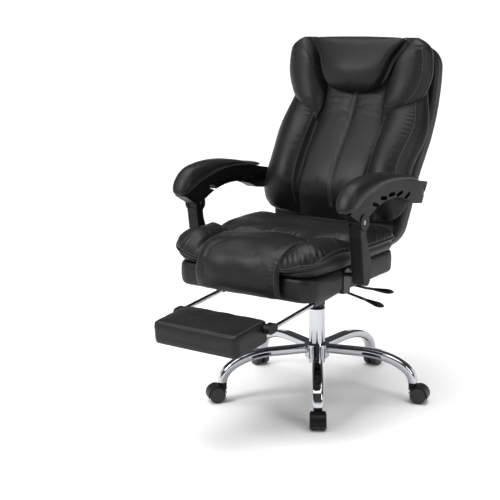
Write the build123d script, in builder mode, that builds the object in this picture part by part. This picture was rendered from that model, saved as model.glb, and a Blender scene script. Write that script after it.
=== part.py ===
"""Reclining office chair with linked armrests and a pull-out footrest.

Millimetres, +Z up, the sitter faces -Y. The origin is on the floor under the gas lift.
The chair is drawn part reclined, with the gas lift down and the footrest pulled out.
"""
from build123d import *
from math import cos, radians, sin, tan
import os

os.makedirs("parts", exist_ok=True)

# ---------------------------------------------------------------- driving dimensions
RUNNING_FIT = 0.05          # radial play of a pin or shaft in its hole
SIDE_PLAY = 0.3             # play between a moving piece and the cheek beside it
SOFT_GAP = 0.3              # upholstery to its neighbour

# five-legged base
LEG_COUNT = 5
FIRST_LEG = -57.5           # heading of the first leg, degrees from +X
CASTER_CIRCLE = 306.0       # radius through the caster stems
LEG_WIDTH = 34.0
LEG_HEIGHT = 26.0
LEG_CORNER = 9.0
LEG_WALL = 2.0
LEG_LEVEL = 143.0           # centre height of the level part of a leg
LEG_BEND = 145.0            # radius where a leg starts to curve down
HUB_RADIUS = 38.0
HUB_HEIGHT = 48.0
HUB_CHAMFER = 7.0

# casters
WHEEL_RADIUS = 25.0
WHEEL_WIDTH = 19.5
WHEEL_GAP = 10.0            # between the two wheels of a caster
WHEEL_ROUND = 4.0
CASTER_TRAIL = 20.0         # axle behind the stem
HOOD_PLAY = 1.2             # wheel to mudguard
HOOD_WALL = 2.8
HOOD_HALF_WIDTH = 22.5
HOOD_TOP = 61.0
BOSS_RADIUS = 13.0
STEM_RADIUS = 5.5
STEM_LENGTH = 39.0
STEM_IN_HOOD = 19.0
AXLE_RADIUS = 3.0
SOCKET_RADIUS = 8.0
SOCKET_FLANGE = 12.5
SOCKET_FLANGE_HEIGHT = 1.5
SOCKET_HEIGHT = 17.0
CASTER_HEADROOM = 0.5       # hood to socket

# gas lift
COLUMN_RADIUS = 25.0
COLUMN_WALL = 2.0
COLUMN_BOTTOM = 96.0
COLUMN_TOP = 270.0
COLUMN_FLOOR = 4.0
BUSH_LENGTH = 80.0
BUSH_FLANGE = 4.0
TUBE_RADIUS = 14.0
TUBE_BORE = 10.0
TUBE_BOTTOM = 112.0
TUBE_CAP = 12.0
ROD_RADIUS = 5.0
ROD_TOP = 250.0
PISTON_HEIGHT = 12.0
THRUST_RADIUS = 11.0
THRUST_HEIGHT = 4.0

# seat
SEAT_BOTTOM = 405.0
SEAT_HALF_WIDTH = 231.0
SEAT_FRONT = -402.0
SEAT_REAR = 80.0
SEAT_BOX_HEIGHT = 70.0
SEAT_CORNER = 45.0
BOARD_THICKNESS = 12.0
BOARD_MARGIN = 30.0
CUSHION_HALF_WIDTH = 250.0
CUSHION_FRONT = -414.0
CUSHION_REAR = 78.0
CUSHION_HEIGHT = 70.0
CUSHION_CORNER = 55.0
CUSHION_ROUND = 26.0
LIP_HALF_WIDTH = 140.0      # middle panel that runs down over the front
LIP_DEPTH = 36.0
LIP_ROUND = 15.0

# tilt mechanism and levers
PLATE_THICKNESS = 4.0
PLATE_HALF_WIDTH = 85.0
PLATE_FRONT = -125.0
PLATE_REAR = 40.0
HOUSING_HALF_WIDTH = 52.0
HOUSING_DEPTH = 50.0
HOUSING_WALL = 3.0
HOUSING_MARGIN = 12.0
SOCKET_BOSS_RADIUS = 26.0
SOCKET_BOSS_DROP = 8.0      # bush flange to the underside of the mechanism boss
BOLT_RADIUS = 3.0
BOLT_HEAD_RADIUS = 6.0
BOLT_HEAD_HEIGHT = 4.0
BOLT_INSET = 14.0
LEVER_RADIUS = 4.0
LEVER_FOOT_X = 38.0         # pivot of both levers
LEVER_DROP = 39.0           # underside of the seat to the lever pivots, below the footrest rails
LEVER_BEND_RADIUS = 25.0
TRUNNION_RADIUS = 2.5
TRUNNION_HALF_LENGTH = 12.0
LEVER_EAR = 3.0
LEVER_HOLE = 6.0
GRIP_LENGTH = 62.0
GRIP_OVERLAP = 40.0         # rod inside the grip
GRIP_HALF_WIDTH = 11.5
GRIP_HALF_THICKNESS = 6.5
LEVERS = {                  # root y, then tip x, y, z and bend x
    "height_lever": (-50.0, 302.0, -132.0, 352.0, 165.0),
    "recline_lever": (8.0, 277.0, -26.0, 366.0, 180.0),
}

# backrest, along its rear line from the bottom to the top, (y, z)
BACK_LINE = [
    (148, 455), (163, 560), (212, 670), (278, 760), (326, 850), (352, 940), (360, 1010), (362, 1095),
]
BACK_HALF_WIDTH = 240.0
BACK_FOOT_TAPER = 18.0      # each side of the shell narrows by this at its foot
BACK_TOP = 1060.0
BACK_CORNER = 75.0
BACK_FOOT_CORNER = 28.0
SHELL_DEPTH = 50.0
BACK_BOARD_INSET = 35.0     # board's side edge inside the shell's
BACK_BOARD_BOTTOM = 505.0
BACK_BOARD_TOP = 1030.0
PANEL_BOTTOM = 550.0
PANEL_TOP = 1066.0
PANEL_INSET = 3.0           # cushion's side inside the shell's
PANEL_DEPTH = 64.0
BOLSTER_INNER = 120.0
BOLSTER_RISE = 17.0
BOLSTER_TOP = 880.0
WING_BOTTOM = 838.0
WING_TOP = 1082.0
WING_RISE = 40.0
WING_TOE = 26.0             # width of a wing at its lowest point
WING_SWEEP = 62.0           # outer corner above the lowest point
WING_INNER = 137.0
BACK_WING_FOOT = 740.0      # height on the rear line below which a wing has nothing
PILLOW_HALF_WIDTH = 135.0
PILLOW_BOTTOM = 895.0
PILLOW_TOP = 1090.0
PILLOW_RISE = 58.0
PILLOW_ROUND = 18.0

# recline hinge
RECLINE_Y = 110.0
RECLINE_Z = 450.0
RECLINE_SHAFT_RADIUS = 7.0
RECLINE_SHAFT_HALF_LENGTH = 138.0
HINGE_X = 100.0             # centre of each back bracket
BARREL_RADIUS = 13.0
BARREL_HALF_WIDTH = 16.0
STRAP_THICKNESS = 8.0
STRAP_TOP = 640.0
EAR_THICKNESS = 6.0
EAR_RADIUS = 15.0
EAR_FOOT = 60.0             # flange under the seat board
HINGE_NOTCH_HALF_WIDTH = 146.0
HINGE_NOTCH_TOP = 496.0

# armrests, drawn on the +X side and mirrored
ARM_BACK_ROOM = 22.0        # shell's side to the arm's inner face
ARM_SEAT_ROOM = 12.0        # seat cushion's side to the arm's inner face
ARM_HALF_WIDTH = 19.0
ARM_PAD_HALF_WIDTH = 35.0
ARM_FRONT_PIVOT = (-237.0, 613.0)
ARM_REAR_PIVOT = (115.0, 645.0)
ARM_FOOT_PIVOT = (-218.0, 455.0)
ARM_DISC_RADIUS = 23.0
ARM_DISC_PROUD = 3.0
TONGUE_RADIUS = 20.0
TONGUE_HALF_WIDTH = 13.0
ARM_BOLT_RADIUS = 4.0
ARM_BOLT_HEAD_RADIUS = 7.0
ARM_BOLT_HEAD_HEIGHT = 3.5
ARM_PIN_RADIUS = 6.0
ARM_PIN_HEAD_RADIUS = 9.0
ARM_PIN_HEAD_HEIGHT = 4.0
ARM_PIN_RECESS = 6.0
ARM_BOSS_INSET = 10.0       # rear boss reaches this far in from the arm
FOOT_PIN_RADIUS = 6.0
FOOT_PIN_SLACK = 2.4        # the foot hole is larger by this, for the linkage
FOOT_PIN_REACH = 23.0
ARM_PLATE_THICKNESS = 4.0
ARM_PLATE_SET_BACK = 30.0   # far end of the rear plate, behind the pivot
ARM_PLATE_RAISE = 11.0
ARM_PLATE_WIDTH = 32.0
FOOT_PLATE_WIDTH = 34.0
FOOT_TAB_LENGTH = 60.0      # tab under the seat board
ARM_SLOT_CELLS = 5
ARM_SLOT_CELL_LENGTH = 38.0
ARM_SLOT_HEIGHT = 11.0
ARM_TOP_LINE = [(-312, 645), (-118, 703), (72, 686)]        # arc under the pad, front to rear, (y, z)
ARM_REAR_END = [(72, 686), (141, 672), (106, 612), (56, 620)]
ARM_ARCH = [(56, 620), (-84, 655), (-212, 624)]             # arc of the underside
ARM_NOSE = [(-212, 624), (-262, 616), (-312, 645)]
UPRIGHT_EDGE_ROUND = 2.5
ARM_BOSS_RADIUS = 16.0
ARM_SLOT_LINE = [(-196, 643), (-84, 667), (34, 639)]
ARM_PAD_CROWN = [(64, 700), (-50, 720), (-185, 735), (-255, 728), (-304, 700), (-328, 664)]
UPRIGHT_TOE = [(-237, 444), (-220, 431), (-203, 443)]       # arc round the foot pin
UPRIGHT_CALF = [(-192, 484), (-212, 540)]                   # on the rear edge, between toe and neck
UPRIGHT_NECK = [(-223, 601), (-258, 605)]                   # rear and front of the neck
UPRIGHT_EDGE_LENGTH = 100.0     # the edges longer than this are rounded
TONGUE_SHANK = (32.0, 40.0)     # width and depth below the front pivot
ARM_PAD_FRONT = -326.0
ARM_PAD_REAR = 72.0
ARM_PAD_TIP_ROUND = 30.0

# footrest
RAIL_X = 157.0
RAIL_RADIUS = 6.5
RAIL_WALL = 1.5
RAIL_SLOPE = 5.0            # degrees, down towards the front
FOOTREST_Y = -480.0         # pivot of the pad
FOOTREST_Z = 351.0
RAIL_REAR = -135.0
TRACK_FRONT = -275.0
TRACK_REAR = -135.0
TRACK_WALL = 3.0
TRACK_TAB_LENGTH = 30.0
TRACK_TAB_WIDTH = 26.0
TRACK_TAB_THICKNESS = 3.0
PAD_HALF_WIDTH = 143.0
PAD_LENGTH = 154.0
PAD_THICKNESS = 66.0
PAD_BEHIND_PIVOT = 12.0
PAD_DROP = 12.0             # pad centre below the rails
PAD_ROUND = 12.0
PAD_BOARD_THICKNESS = 18.0
PAD_BOARD_MARGIN = 14.0
PAD_AXLE_RADIUS = 5.0
CORNER_BLOCK_WIDTH = 20.0
CORNER_BLOCK_HEIGHT = 26.0
CORNER_BLOCK_LENGTH = 44.0

# ---------------------------------------------------------------- derived places
leg_headings = [FIRST_LEG + 360 / LEG_COUNT * i for i in range(LEG_COUNT)]
socket_bottom = HOOD_TOP + CASTER_HEADROOM
leg_end = socket_bottom + SOCKET_FLANGE_HEIGHT
hub_top = LEG_LEVEL + LEG_HEIGHT / 2 + 1
boss_bottom = COLUMN_TOP + BUSH_FLANGE + SOCKET_BOSS_DROP
plate_bottom = SEAT_BOTTOM - PLATE_THICKNESS
tube_top = plate_bottom - 9
lever_height = SEAT_BOTTOM - LEVER_DROP
cushion_bottom = SEAT_BOTTOM + SEAT_BOX_HEIGHT + SOFT_GAP
panel_front = SHELL_DEPTH + SOFT_GAP + PANEL_DEPTH
back_foot_half_width = BACK_HALF_WIDTH - BACK_FOOT_TAPER
back_board_half_width = BACK_HALF_WIDTH - BACK_BOARD_INSET
panel_half_width = BACK_HALF_WIDTH - PANEL_INSET
arm_inner = max(BACK_HALF_WIDTH + ARM_BACK_ROOM, CUSHION_HALF_WIDTH + ARM_SEAT_ROOM)
arm_x = arm_inner + ARM_HALF_WIDTH
arm_outer = arm_x + ARM_HALF_WIDTH
back_curve = Spline(*BACK_LINE)


def wall_share(tip_x):
    """Share of a lever's length at which it passes through the housing wall."""
    return (HOUSING_HALF_WIDTH - HOUSING_WALL / 2 - LEVER_FOOT_X) / (tip_x - LEVER_FOOT_X)


def finish(piece, name):
    """Label a finished piece and write its STEP file."""
    piece.part.label = name
    export_step(piece.part, f"parts/{name}.step")


def radial_plane(heading, radius=0.0):
    """Upright plane through the column axis: local x runs outwards, local y runs up."""
    out = Vector(cos(radians(heading)), sin(radians(heading)), 0)
    return Plane(origin=out * radius, x_dir=out, z_dir=out.cross(Vector(0, 0, 1)))


def level_plane(heading, radius, height):
    """Level plane at a caster: local x runs outwards along the leg."""
    out = Vector(cos(radians(heading)), sin(radians(heading)), 0)
    return Plane(origin=out * radius + Vector(0, 0, height), x_dir=out, z_dir=(0, 0, 1))


def at_height(height):
    """Parameter of the backrest's rear line at a given height, by bisection."""
    low, high = 0.0, 1.0
    for _ in range(40):
        middle = (low + high) / 2
        if (back_curve @ middle).Y < height:
            low = middle
        else:
            high = middle
    return low


def back_point(station, depth):
    """Point at a depth in front of the backrest's rear line, square to the line."""
    along = back_curve % station
    return back_curve @ station + Vector(-along.Y, along.X) * depth


def back_strip(near, far, bottom, top, steps=12):
    """Face between two depths in front of the rear line, from one height to another."""
    start, end = at_height(bottom), at_height(top)
    stations = [start + (end - start) * i / steps for i in range(steps + 1)]
    with BuildLine() as strip:
        rear = Spline(*[back_point(s, near) for s in stations])
        front = Spline(*[back_point(s, far) for s in stations])
        Line(rear @ 0, front @ 0)
        Line(rear @ 1, front @ 1)
    make_face(strip.edges())


def wing_outline(way, grow=0.0):
    """Front outline of a shoulder wing, with its lower edge and inner side moved out by grow."""
    with BuildLine() as outline:
        FilletPolyline(
            (way * (WING_INNER - grow), WING_BOTTOM - grow),
            (way * (WING_INNER + WING_TOE), WING_BOTTOM - grow),
            (way * (BACK_HALF_WIDTH + grow), WING_BOTTOM + WING_SWEEP - grow),
            (way * (BACK_HALF_WIDTH + grow), WING_TOP + grow),
            (way * (WING_INNER - grow), WING_TOP + grow),
            radius=12, close=True,
        )
    make_face(outline.edges())


# ---------------------------------------------------------------- base
with BuildPart() as base_star:
    with BuildSketch(Plane.XY.offset(hub_top - HUB_HEIGHT)):
        Circle(HUB_RADIUS)
    extrude(amount=HUB_HEIGHT)
    chamfer(base_star.edges().group_by(Axis.Z)[0], HUB_CHAMFER)
    for mode, wall in ((Mode.ADD, 0), (Mode.SUBTRACT, LEG_WALL)):
        for heading in leg_headings:
            with BuildLine(radial_plane(heading)) as leg_path:
                curve = EllipticalCenterArc(
                    (LEG_BEND, leg_end), CASTER_CIRCLE - LEG_BEND, LEG_LEVEL - leg_end, arc_size=90
                )
                Line(curve @ 1, (COLUMN_RADIUS + 4 + wall, LEG_LEVEL))
            with BuildSketch(level_plane(heading, CASTER_CIRCLE, leg_end)):
                RectangleRounded(LEG_HEIGHT - 2 * wall, LEG_WIDTH - 2 * wall, LEG_CORNER - wall)
            sweep(path=leg_path.line, mode=mode)
    with BuildSketch(Plane.XY.offset(COLUMN_BOTTOM)):
        Circle(COLUMN_RADIUS)
    extrude(amount=hub_top - COLUMN_BOTTOM, mode=Mode.SUBTRACT)
finish(base_star, "base_star")

with BuildPart() as caster_sockets:
    for heading in leg_headings:
        with BuildSketch(level_plane(heading, CASTER_CIRCLE, socket_bottom)):
            Circle(SOCKET_FLANGE)
        extrude(amount=SOCKET_FLANGE_HEIGHT)
        with BuildSketch(level_plane(heading, CASTER_CIRCLE, leg_end)):
            Circle(SOCKET_RADIUS)
        extrude(amount=SOCKET_HEIGHT)
        with BuildSketch(level_plane(heading, CASTER_CIRCLE, socket_bottom)):
            Circle(STEM_RADIUS + RUNNING_FIT)
        extrude(amount=SOCKET_FLANGE_HEIGHT + SOCKET_HEIGHT, mode=Mode.SUBTRACT)
finish(caster_sockets, "caster_sockets")

# ---------------------------------------------------------------- casters
axle_place = (CASTER_TRAIL, WHEEL_RADIUS)
chamber_radius = WHEEL_RADIUS + HOOD_PLAY
web_half = WHEEL_GAP / 2 - 0.7
for number, heading in enumerate(leg_headings, start=1):
    side = radial_plane(heading, CASTER_CIRCLE)

    with BuildPart() as hood:
        with BuildSketch(side):
            with Locations(axle_place):
                Circle(chamber_radius + HOOD_WALL)
                Rectangle(90, 45, rotation=-14, align=(Align.CENTER, Align.MAX), mode=Mode.SUBTRACT)
                Circle(AXLE_RADIUS + 5)
        extrude(amount=HOOD_HALF_WIDTH, both=True)
        with BuildSketch(level_plane(heading, CASTER_CIRCLE, HOOD_TOP)):
            Circle(BOSS_RADIUS)
        extrude(amount=-STEM_IN_HOOD - 4)
        for way in (1, -1):
            with BuildSketch(side.offset(way * web_half)):
                with Locations(axle_place):
                    Circle(chamber_radius)
            extrude(amount=way * 2 * HOOD_HALF_WIDTH, mode=Mode.SUBTRACT)
        with BuildSketch(side):
            with Locations(axle_place):
                Circle(AXLE_RADIUS)
        extrude(amount=2 * web_half, both=True, mode=Mode.SUBTRACT)
        with BuildSketch(level_plane(heading, CASTER_CIRCLE, HOOD_TOP - STEM_IN_HOOD)):
            Circle(STEM_RADIUS)
        extrude(amount=STEM_IN_HOOD, mode=Mode.SUBTRACT)
    finish(hood, f"caster_{number}_hood")

    with BuildPart() as pins:
        with BuildSketch(level_plane(heading, CASTER_CIRCLE, HOOD_TOP - STEM_IN_HOOD)):
            Circle(STEM_RADIUS)
        extrude(amount=STEM_LENGTH)
        with BuildSketch(side):
            with Locations(axle_place):
                Circle(AXLE_RADIUS)
        extrude(amount=WHEEL_GAP / 2 + WHEEL_WIDTH - 2, both=True)
    finish(pins, f"caster_{number}_pins")

    for way, hand in ((1, "right"), (-1, "left")):
        with BuildPart() as wheel:
            with BuildSketch(side.offset(way * WHEEL_GAP / 2)):
                with Locations(axle_place):
                    Circle(WHEEL_RADIUS)
            extrude(amount=way * WHEEL_WIDTH)
            fillet(wheel.edges().filter_by(GeomType.CIRCLE), WHEEL_ROUND)
            with BuildSketch(side.offset(way * WHEEL_GAP / 2)):
                with Locations(axle_place):
                    Circle(AXLE_RADIUS + RUNNING_FIT)
            extrude(amount=way * (WHEEL_WIDTH - 1.8), mode=Mode.SUBTRACT)
        finish(wheel, f"caster_{number}_wheel_{hand}")

# ---------------------------------------------------------------- gas lift
with BuildPart() as gas_cylinder:
    with BuildSketch(Plane.XY.offset(COLUMN_BOTTOM)):
        Circle(COLUMN_RADIUS)
    extrude(amount=COLUMN_TOP - COLUMN_BOTTOM)
    with BuildSketch(Plane.XY.offset(COLUMN_BOTTOM + COLUMN_FLOOR)):
        Circle(COLUMN_RADIUS - COLUMN_WALL)
    extrude(amount=COLUMN_TOP - COLUMN_BOTTOM, mode=Mode.SUBTRACT)
    with BuildSketch(Plane.XY.offset(COLUMN_BOTTOM)):
        Circle(ROD_RADIUS + RUNNING_FIT)
    extrude(amount=COLUMN_FLOOR, mode=Mode.SUBTRACT)
finish(gas_cylinder, "gas_cylinder")

with BuildPart() as cylinder_bush:
    with BuildSketch(Plane.XY.offset(COLUMN_TOP)):
        Circle(COLUMN_RADIUS)
    extrude(amount=BUSH_FLANGE)
    with BuildSketch(Plane.XY.offset(COLUMN_TOP)):
        Circle(COLUMN_RADIUS - COLUMN_WALL)
    extrude(amount=-BUSH_LENGTH)
    with BuildSketch(Plane.XY.offset(COLUMN_TOP - BUSH_LENGTH)):
        Circle(TUBE_RADIUS + RUNNING_FIT)
    extrude(amount=BUSH_LENGTH + BUSH_FLANGE, mode=Mode.SUBTRACT)
finish(cylinder_bush, "cylinder_bush")

with BuildPart() as gas_rod:
    with BuildSketch(Plane.XY.offset(COLUMN_BOTTOM)):
        Circle(ROD_RADIUS)
    extrude(amount=ROD_TOP - COLUMN_BOTTOM)
    with BuildSketch(Plane.XY.offset(COLUMN_BOTTOM + COLUMN_FLOOR + 0.2)):
        Circle(THRUST_RADIUS)
    extrude(amount=THRUST_HEIGHT)
    with BuildSketch(Plane.XY.offset(ROD_TOP - PISTON_HEIGHT)):
        Circle(TUBE_BORE - RUNNING_FIT)
    extrude(amount=PISTON_HEIGHT)
finish(gas_rod, "gas_rod")

with BuildPart() as gas_tube:
    with BuildSketch(Plane.XY.offset(TUBE_BOTTOM)):
        Circle(TUBE_RADIUS)
    extrude(amount=tube_top - TUBE_BOTTOM)
    with BuildSketch(Plane.XY.offset(TUBE_BOTTOM + TUBE_CAP)):
        Circle(TUBE_BORE)
    extrude(amount=tube_top - TUBE_BOTTOM - 2 * TUBE_CAP, mode=Mode.SUBTRACT)
    with BuildSketch(Plane.XY.offset(TUBE_BOTTOM)):
        Circle(ROD_RADIUS + RUNNING_FIT)
    extrude(amount=TUBE_CAP, mode=Mode.SUBTRACT)
finish(gas_tube, "gas_tube")

# ---------------------------------------------------------------- tilt mechanism
plate_middle = (PLATE_FRONT + PLATE_REAR) / 2
plate_length = PLATE_REAR - PLATE_FRONT
bolt_places = [
    (x, y)
    for x in (-PLATE_HALF_WIDTH + BOLT_INSET, PLATE_HALF_WIDTH - BOLT_INSET)
    for y in (PLATE_FRONT + BOLT_INSET, PLATE_REAR - BOLT_INSET)
]
with BuildPart() as seat_mechanism:
    with BuildSketch(Plane.XY.offset(plate_bottom)):
        with Locations((0, plate_middle)):
            RectangleRounded(2 * PLATE_HALF_WIDTH, plate_length, 12)
    extrude(amount=PLATE_THICKNESS)
    with BuildSketch(Plane.XY.offset(plate_bottom)):
        with Locations((0, plate_middle)):
            RectangleRounded(2 * HOUSING_HALF_WIDTH, plate_length - 2 * HOUSING_MARGIN, 10)
    extrude(amount=-HOUSING_DEPTH)
    with BuildSketch(Plane.XY.offset(plate_bottom)):
        with Locations((0, plate_middle)):
            RectangleRounded(
                2 * (HOUSING_HALF_WIDTH - HOUSING_WALL),
                plate_length - 2 * (HOUSING_MARGIN + HOUSING_WALL),
                10 - HOUSING_WALL,
            )
    extrude(amount=-HOUSING_DEPTH, mode=Mode.SUBTRACT)
    with BuildSketch(Plane.XY.offset(boss_bottom)):
        Circle(SOCKET_BOSS_RADIUS)
    extrude(amount=plate_bottom - boss_bottom)
    with BuildSketch(Plane.XY.offset(boss_bottom)):
        Circle(TUBE_RADIUS)
    extrude(amount=tube_top - boss_bottom, mode=Mode.SUBTRACT)
    for root_y, tip_x, tip_y, _, _ in LEVERS.values():
        for way in (1, -1):
            with BuildSketch(Plane.XZ.offset(-root_y + way * (TRUNNION_HALF_LENGTH - LEVER_EAR))):
                with Locations((LEVER_FOOT_X, (lever_height - 6 + plate_bottom) / 2)):
                    Rectangle(14, plate_bottom - lever_height + 6)
            extrude(amount=way * LEVER_EAR)
        with BuildSketch(Plane.XZ.offset(-root_y)):
            with Locations((LEVER_FOOT_X, lever_height)):
                Circle(TRUNNION_RADIUS + RUNNING_FIT)
        extrude(amount=TRUNNION_HALF_LENGTH + 1, both=True, mode=Mode.SUBTRACT)
        with BuildSketch(Plane.YZ.offset(HOUSING_HALF_WIDTH)):
            with Locations((root_y + (tip_y - root_y) * wall_share(tip_x), lever_height - 1)):
                SlotCenterToCenter(4, 2 * LEVER_HOLE)
        extrude(amount=-HOUSING_WALL, mode=Mode.SUBTRACT)
    with BuildSketch(Plane.XY.offset(plate_bottom)):
        with Locations(*bolt_places):
            Circle(BOLT_RADIUS)
    extrude(amount=PLATE_THICKNESS, mode=Mode.SUBTRACT)
finish(seat_mechanism, "seat_mechanism")

with BuildPart() as seat_bolts:
    with BuildSketch(Plane.XY.offset(plate_bottom)):
        with Locations(*bolt_places):
            RegularPolygon(BOLT_HEAD_RADIUS, 6)
    extrude(amount=-BOLT_HEAD_HEIGHT)
    with BuildSketch(Plane.XY.offset(plate_bottom)):
        with Locations(*bolt_places):
            Circle(BOLT_RADIUS)
    extrude(amount=PLATE_THICKNESS + BOARD_THICKNESS)
finish(seat_bolts, "seat_bolts")

for name, (root_y, tip_x, tip_y, tip_z, bend_x) in LEVERS.items():
    root = Vector(LEVER_FOOT_X, root_y, lever_height)
    tip = Vector(tip_x, tip_y, tip_z)
    share = (bend_x - LEVER_FOOT_X) / (tip_x - LEVER_FOOT_X)
    bend = Vector(bend_x, root_y + (tip_y - root_y) * share, lever_height - 4)
    slope = (tip - bend).normalized()
    grip_start = tip - slope * GRIP_LENGTH
    grip_plane = Plane(origin=grip_start, z_dir=slope, x_dir=slope.cross(Vector(0, 0, 1)))

    with BuildPart() as lever:
        with BuildLine() as rod_path:
            FilletPolyline(root, bend, grip_start + slope * GRIP_OVERLAP, radius=LEVER_BEND_RADIUS)
        with BuildSketch(Plane(origin=root, z_dir=rod_path.line % 0)):
            Circle(LEVER_RADIUS)
        sweep()
        with BuildSketch(Plane.XZ.offset(-root_y)):
            with Locations((LEVER_FOOT_X, lever_height)):
                Circle(LEVER_RADIUS + 1)
        extrude(amount=TRUNNION_HALF_LENGTH - LEVER_EAR - SIDE_PLAY, both=True)
        with BuildSketch(Plane.XZ.offset(-root_y)):
            with Locations((LEVER_FOOT_X, lever_height)):
                Circle(TRUNNION_RADIUS)
        extrude(amount=TRUNNION_HALF_LENGTH, both=True)
    finish(lever, name)

    with BuildPart() as grip:
        for station, width, thickness in ((0, 0.55, 0.75), (0.35, 0.8, 0.95), (0.8, 1, 1), (1, 0.6, 0.6)):
            with BuildSketch(grip_plane.offset(station * GRIP_LENGTH)):
                Ellipse(width * GRIP_HALF_WIDTH, thickness * GRIP_HALF_THICKNESS)
        loft()
        with BuildSketch(grip_plane):
            Circle(LEVER_RADIUS)
        extrude(amount=GRIP_OVERLAP, mode=Mode.SUBTRACT)
    finish(grip, f"{name}_grip")

# ---------------------------------------------------------------- seat
board_width = 2 * (SEAT_HALF_WIDTH - BOARD_MARGIN)
board_length = SEAT_REAR - SEAT_FRONT - 2 * BOARD_MARGIN
seat_middle = (SEAT_FRONT + SEAT_REAR) / 2
with BuildPart() as seat_board:
    with BuildSketch(Plane.XY.offset(SEAT_BOTTOM)):
        with Locations((0, seat_middle)):
            RectangleRounded(board_width, board_length, SEAT_CORNER - BOARD_MARGIN)
    extrude(amount=BOARD_THICKNESS)
    with BuildSketch(Plane.XY.offset(SEAT_BOTTOM)):
        with Locations(*bolt_places):
            Circle(BOLT_RADIUS)
    extrude(amount=BOARD_THICKNESS, mode=Mode.SUBTRACT)
finish(seat_board, "seat_board")

with BuildPart() as seat_box:
    with BuildSketch(Plane.XY.offset(SEAT_BOTTOM)):
        with Locations((0, seat_middle)):
            RectangleRounded(2 * SEAT_HALF_WIDTH, SEAT_REAR - SEAT_FRONT, SEAT_CORNER)
    extrude(amount=SEAT_BOX_HEIGHT)
    fillet(seat_box.edges().group_by(Axis.Z)[0], 10)
    with BuildSketch(Plane.XY.offset(SEAT_BOTTOM)):
        with Locations((0, seat_middle)):
            RectangleRounded(
                board_width + 2 * SOFT_GAP, board_length + 2 * SOFT_GAP, SEAT_CORNER - BOARD_MARGIN
            )
    extrude(amount=BOARD_THICKNESS + SOFT_GAP, mode=Mode.SUBTRACT)
finish(seat_box, "seat_box")

with BuildPart() as seat_cushion:
    with BuildSketch(Plane.XY.offset(cushion_bottom)):
        with Locations((0, (CUSHION_FRONT + CUSHION_REAR) / 2)):
            RectangleRounded(2 * CUSHION_HALF_WIDTH, CUSHION_REAR - CUSHION_FRONT, CUSHION_CORNER)
    extrude(amount=CUSHION_HEIGHT)
    fillet(seat_cushion.edges().group_by(Axis.Z)[0], CUSHION_ROUND)
    fillet(seat_cushion.edges().group_by(Axis.Z)[-1], CUSHION_ROUND)
    with BuildSketch(Plane.XZ.offset(-SEAT_FRONT + SOFT_GAP)):
        with Locations((0, SEAT_BOTTOM + 8)):
            RectangleRounded(
                2 * LIP_HALF_WIDTH, SEAT_BOX_HEIGHT + CUSHION_HEIGHT - 22, LIP_ROUND,
                align=(Align.CENTER, Align.MIN),
            )
    extrude(amount=LIP_DEPTH)
    fillet(seat_cushion.faces().sort_by(Axis.Y)[0].edges(), LIP_ROUND - 1)
finish(seat_cushion, "seat_cushion")

# ---------------------------------------------------------------- footrest
slide_along = Vector(0, cos(radians(RAIL_SLOPE)), sin(radians(RAIL_SLOPE)))
slide_up = Vector(0, -sin(radians(RAIL_SLOPE)), cos(radians(RAIL_SLOPE)))
footrest_pivot = Vector(0, FOOTREST_Y, FOOTREST_Z)


def rail_plane(distance):
    """Plane square to the rails, a distance behind the pad's pivot: local x is across."""
    return Plane(origin=footrest_pivot + slide_along * distance, x_dir=(1, 0, 0), z_dir=slide_along)


def rail_distance(y):
    """Distance along the rails from the pad's pivot to a place y."""
    return (y - FOOTREST_Y) / slide_along.Y


pad_side = Plane(origin=footrest_pivot, x_dir=-slide_along, z_dir=(1, 0, 0))
rail_start = CORNER_BLOCK_LENGTH / 2 - 4
rail_length = rail_distance(RAIL_REAR) - rail_start
track_start = rail_distance(TRACK_FRONT)
track_length = rail_distance(TRACK_REAR) - track_start
with BuildPart() as footrest_rails:
    with BuildSketch(rail_plane(rail_start)):
        with Locations((-RAIL_X, 0), (RAIL_X, 0)):
            Circle(RAIL_RADIUS)
            Circle(RAIL_RADIUS - RAIL_WALL, mode=Mode.SUBTRACT)
    extrude(amount=rail_length)
finish(footrest_rails, "footrest_rails")

track_radius = RAIL_RADIUS + RUNNING_FIT + TRACK_WALL
with BuildPart() as footrest_tracks:
    with BuildSketch(rail_plane(track_start)):
        with Locations((-RAIL_X, 0), (RAIL_X, 0)):
            Circle(track_radius)
    extrude(amount=track_length)
    for y in (TRACK_FRONT + TRACK_TAB_LENGTH / 2, TRACK_REAR - TRACK_TAB_LENGTH / 2):
        height = FOOTREST_Z + (y - FOOTREST_Y) * tan(radians(RAIL_SLOPE))
        for way in (1, -1):
            with BuildSketch(Plane.XY.offset(height)):
                with Locations((way * (RAIL_X + 4), y)):
                    Rectangle(10, TRACK_TAB_LENGTH)
            extrude(amount=SEAT_BOTTOM - height)
            with BuildSketch(Plane.XY.offset(SEAT_BOTTOM)):
                with Locations((way * (RAIL_X + 14), y)):
                    Rectangle(TRACK_TAB_WIDTH + 4, TRACK_TAB_LENGTH)
            extrude(amount=-TRACK_TAB_THICKNESS)
    with BuildSketch(rail_plane(track_start - TRACK_TAB_LENGTH)):
        with Locations((-RAIL_X, 0), (RAIL_X, 0)):
            Circle(RAIL_RADIUS + RUNNING_FIT)
    extrude(amount=track_length + 2 * TRACK_TAB_LENGTH, mode=Mode.SUBTRACT)
finish(footrest_tracks, "footrest_tracks")

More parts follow.
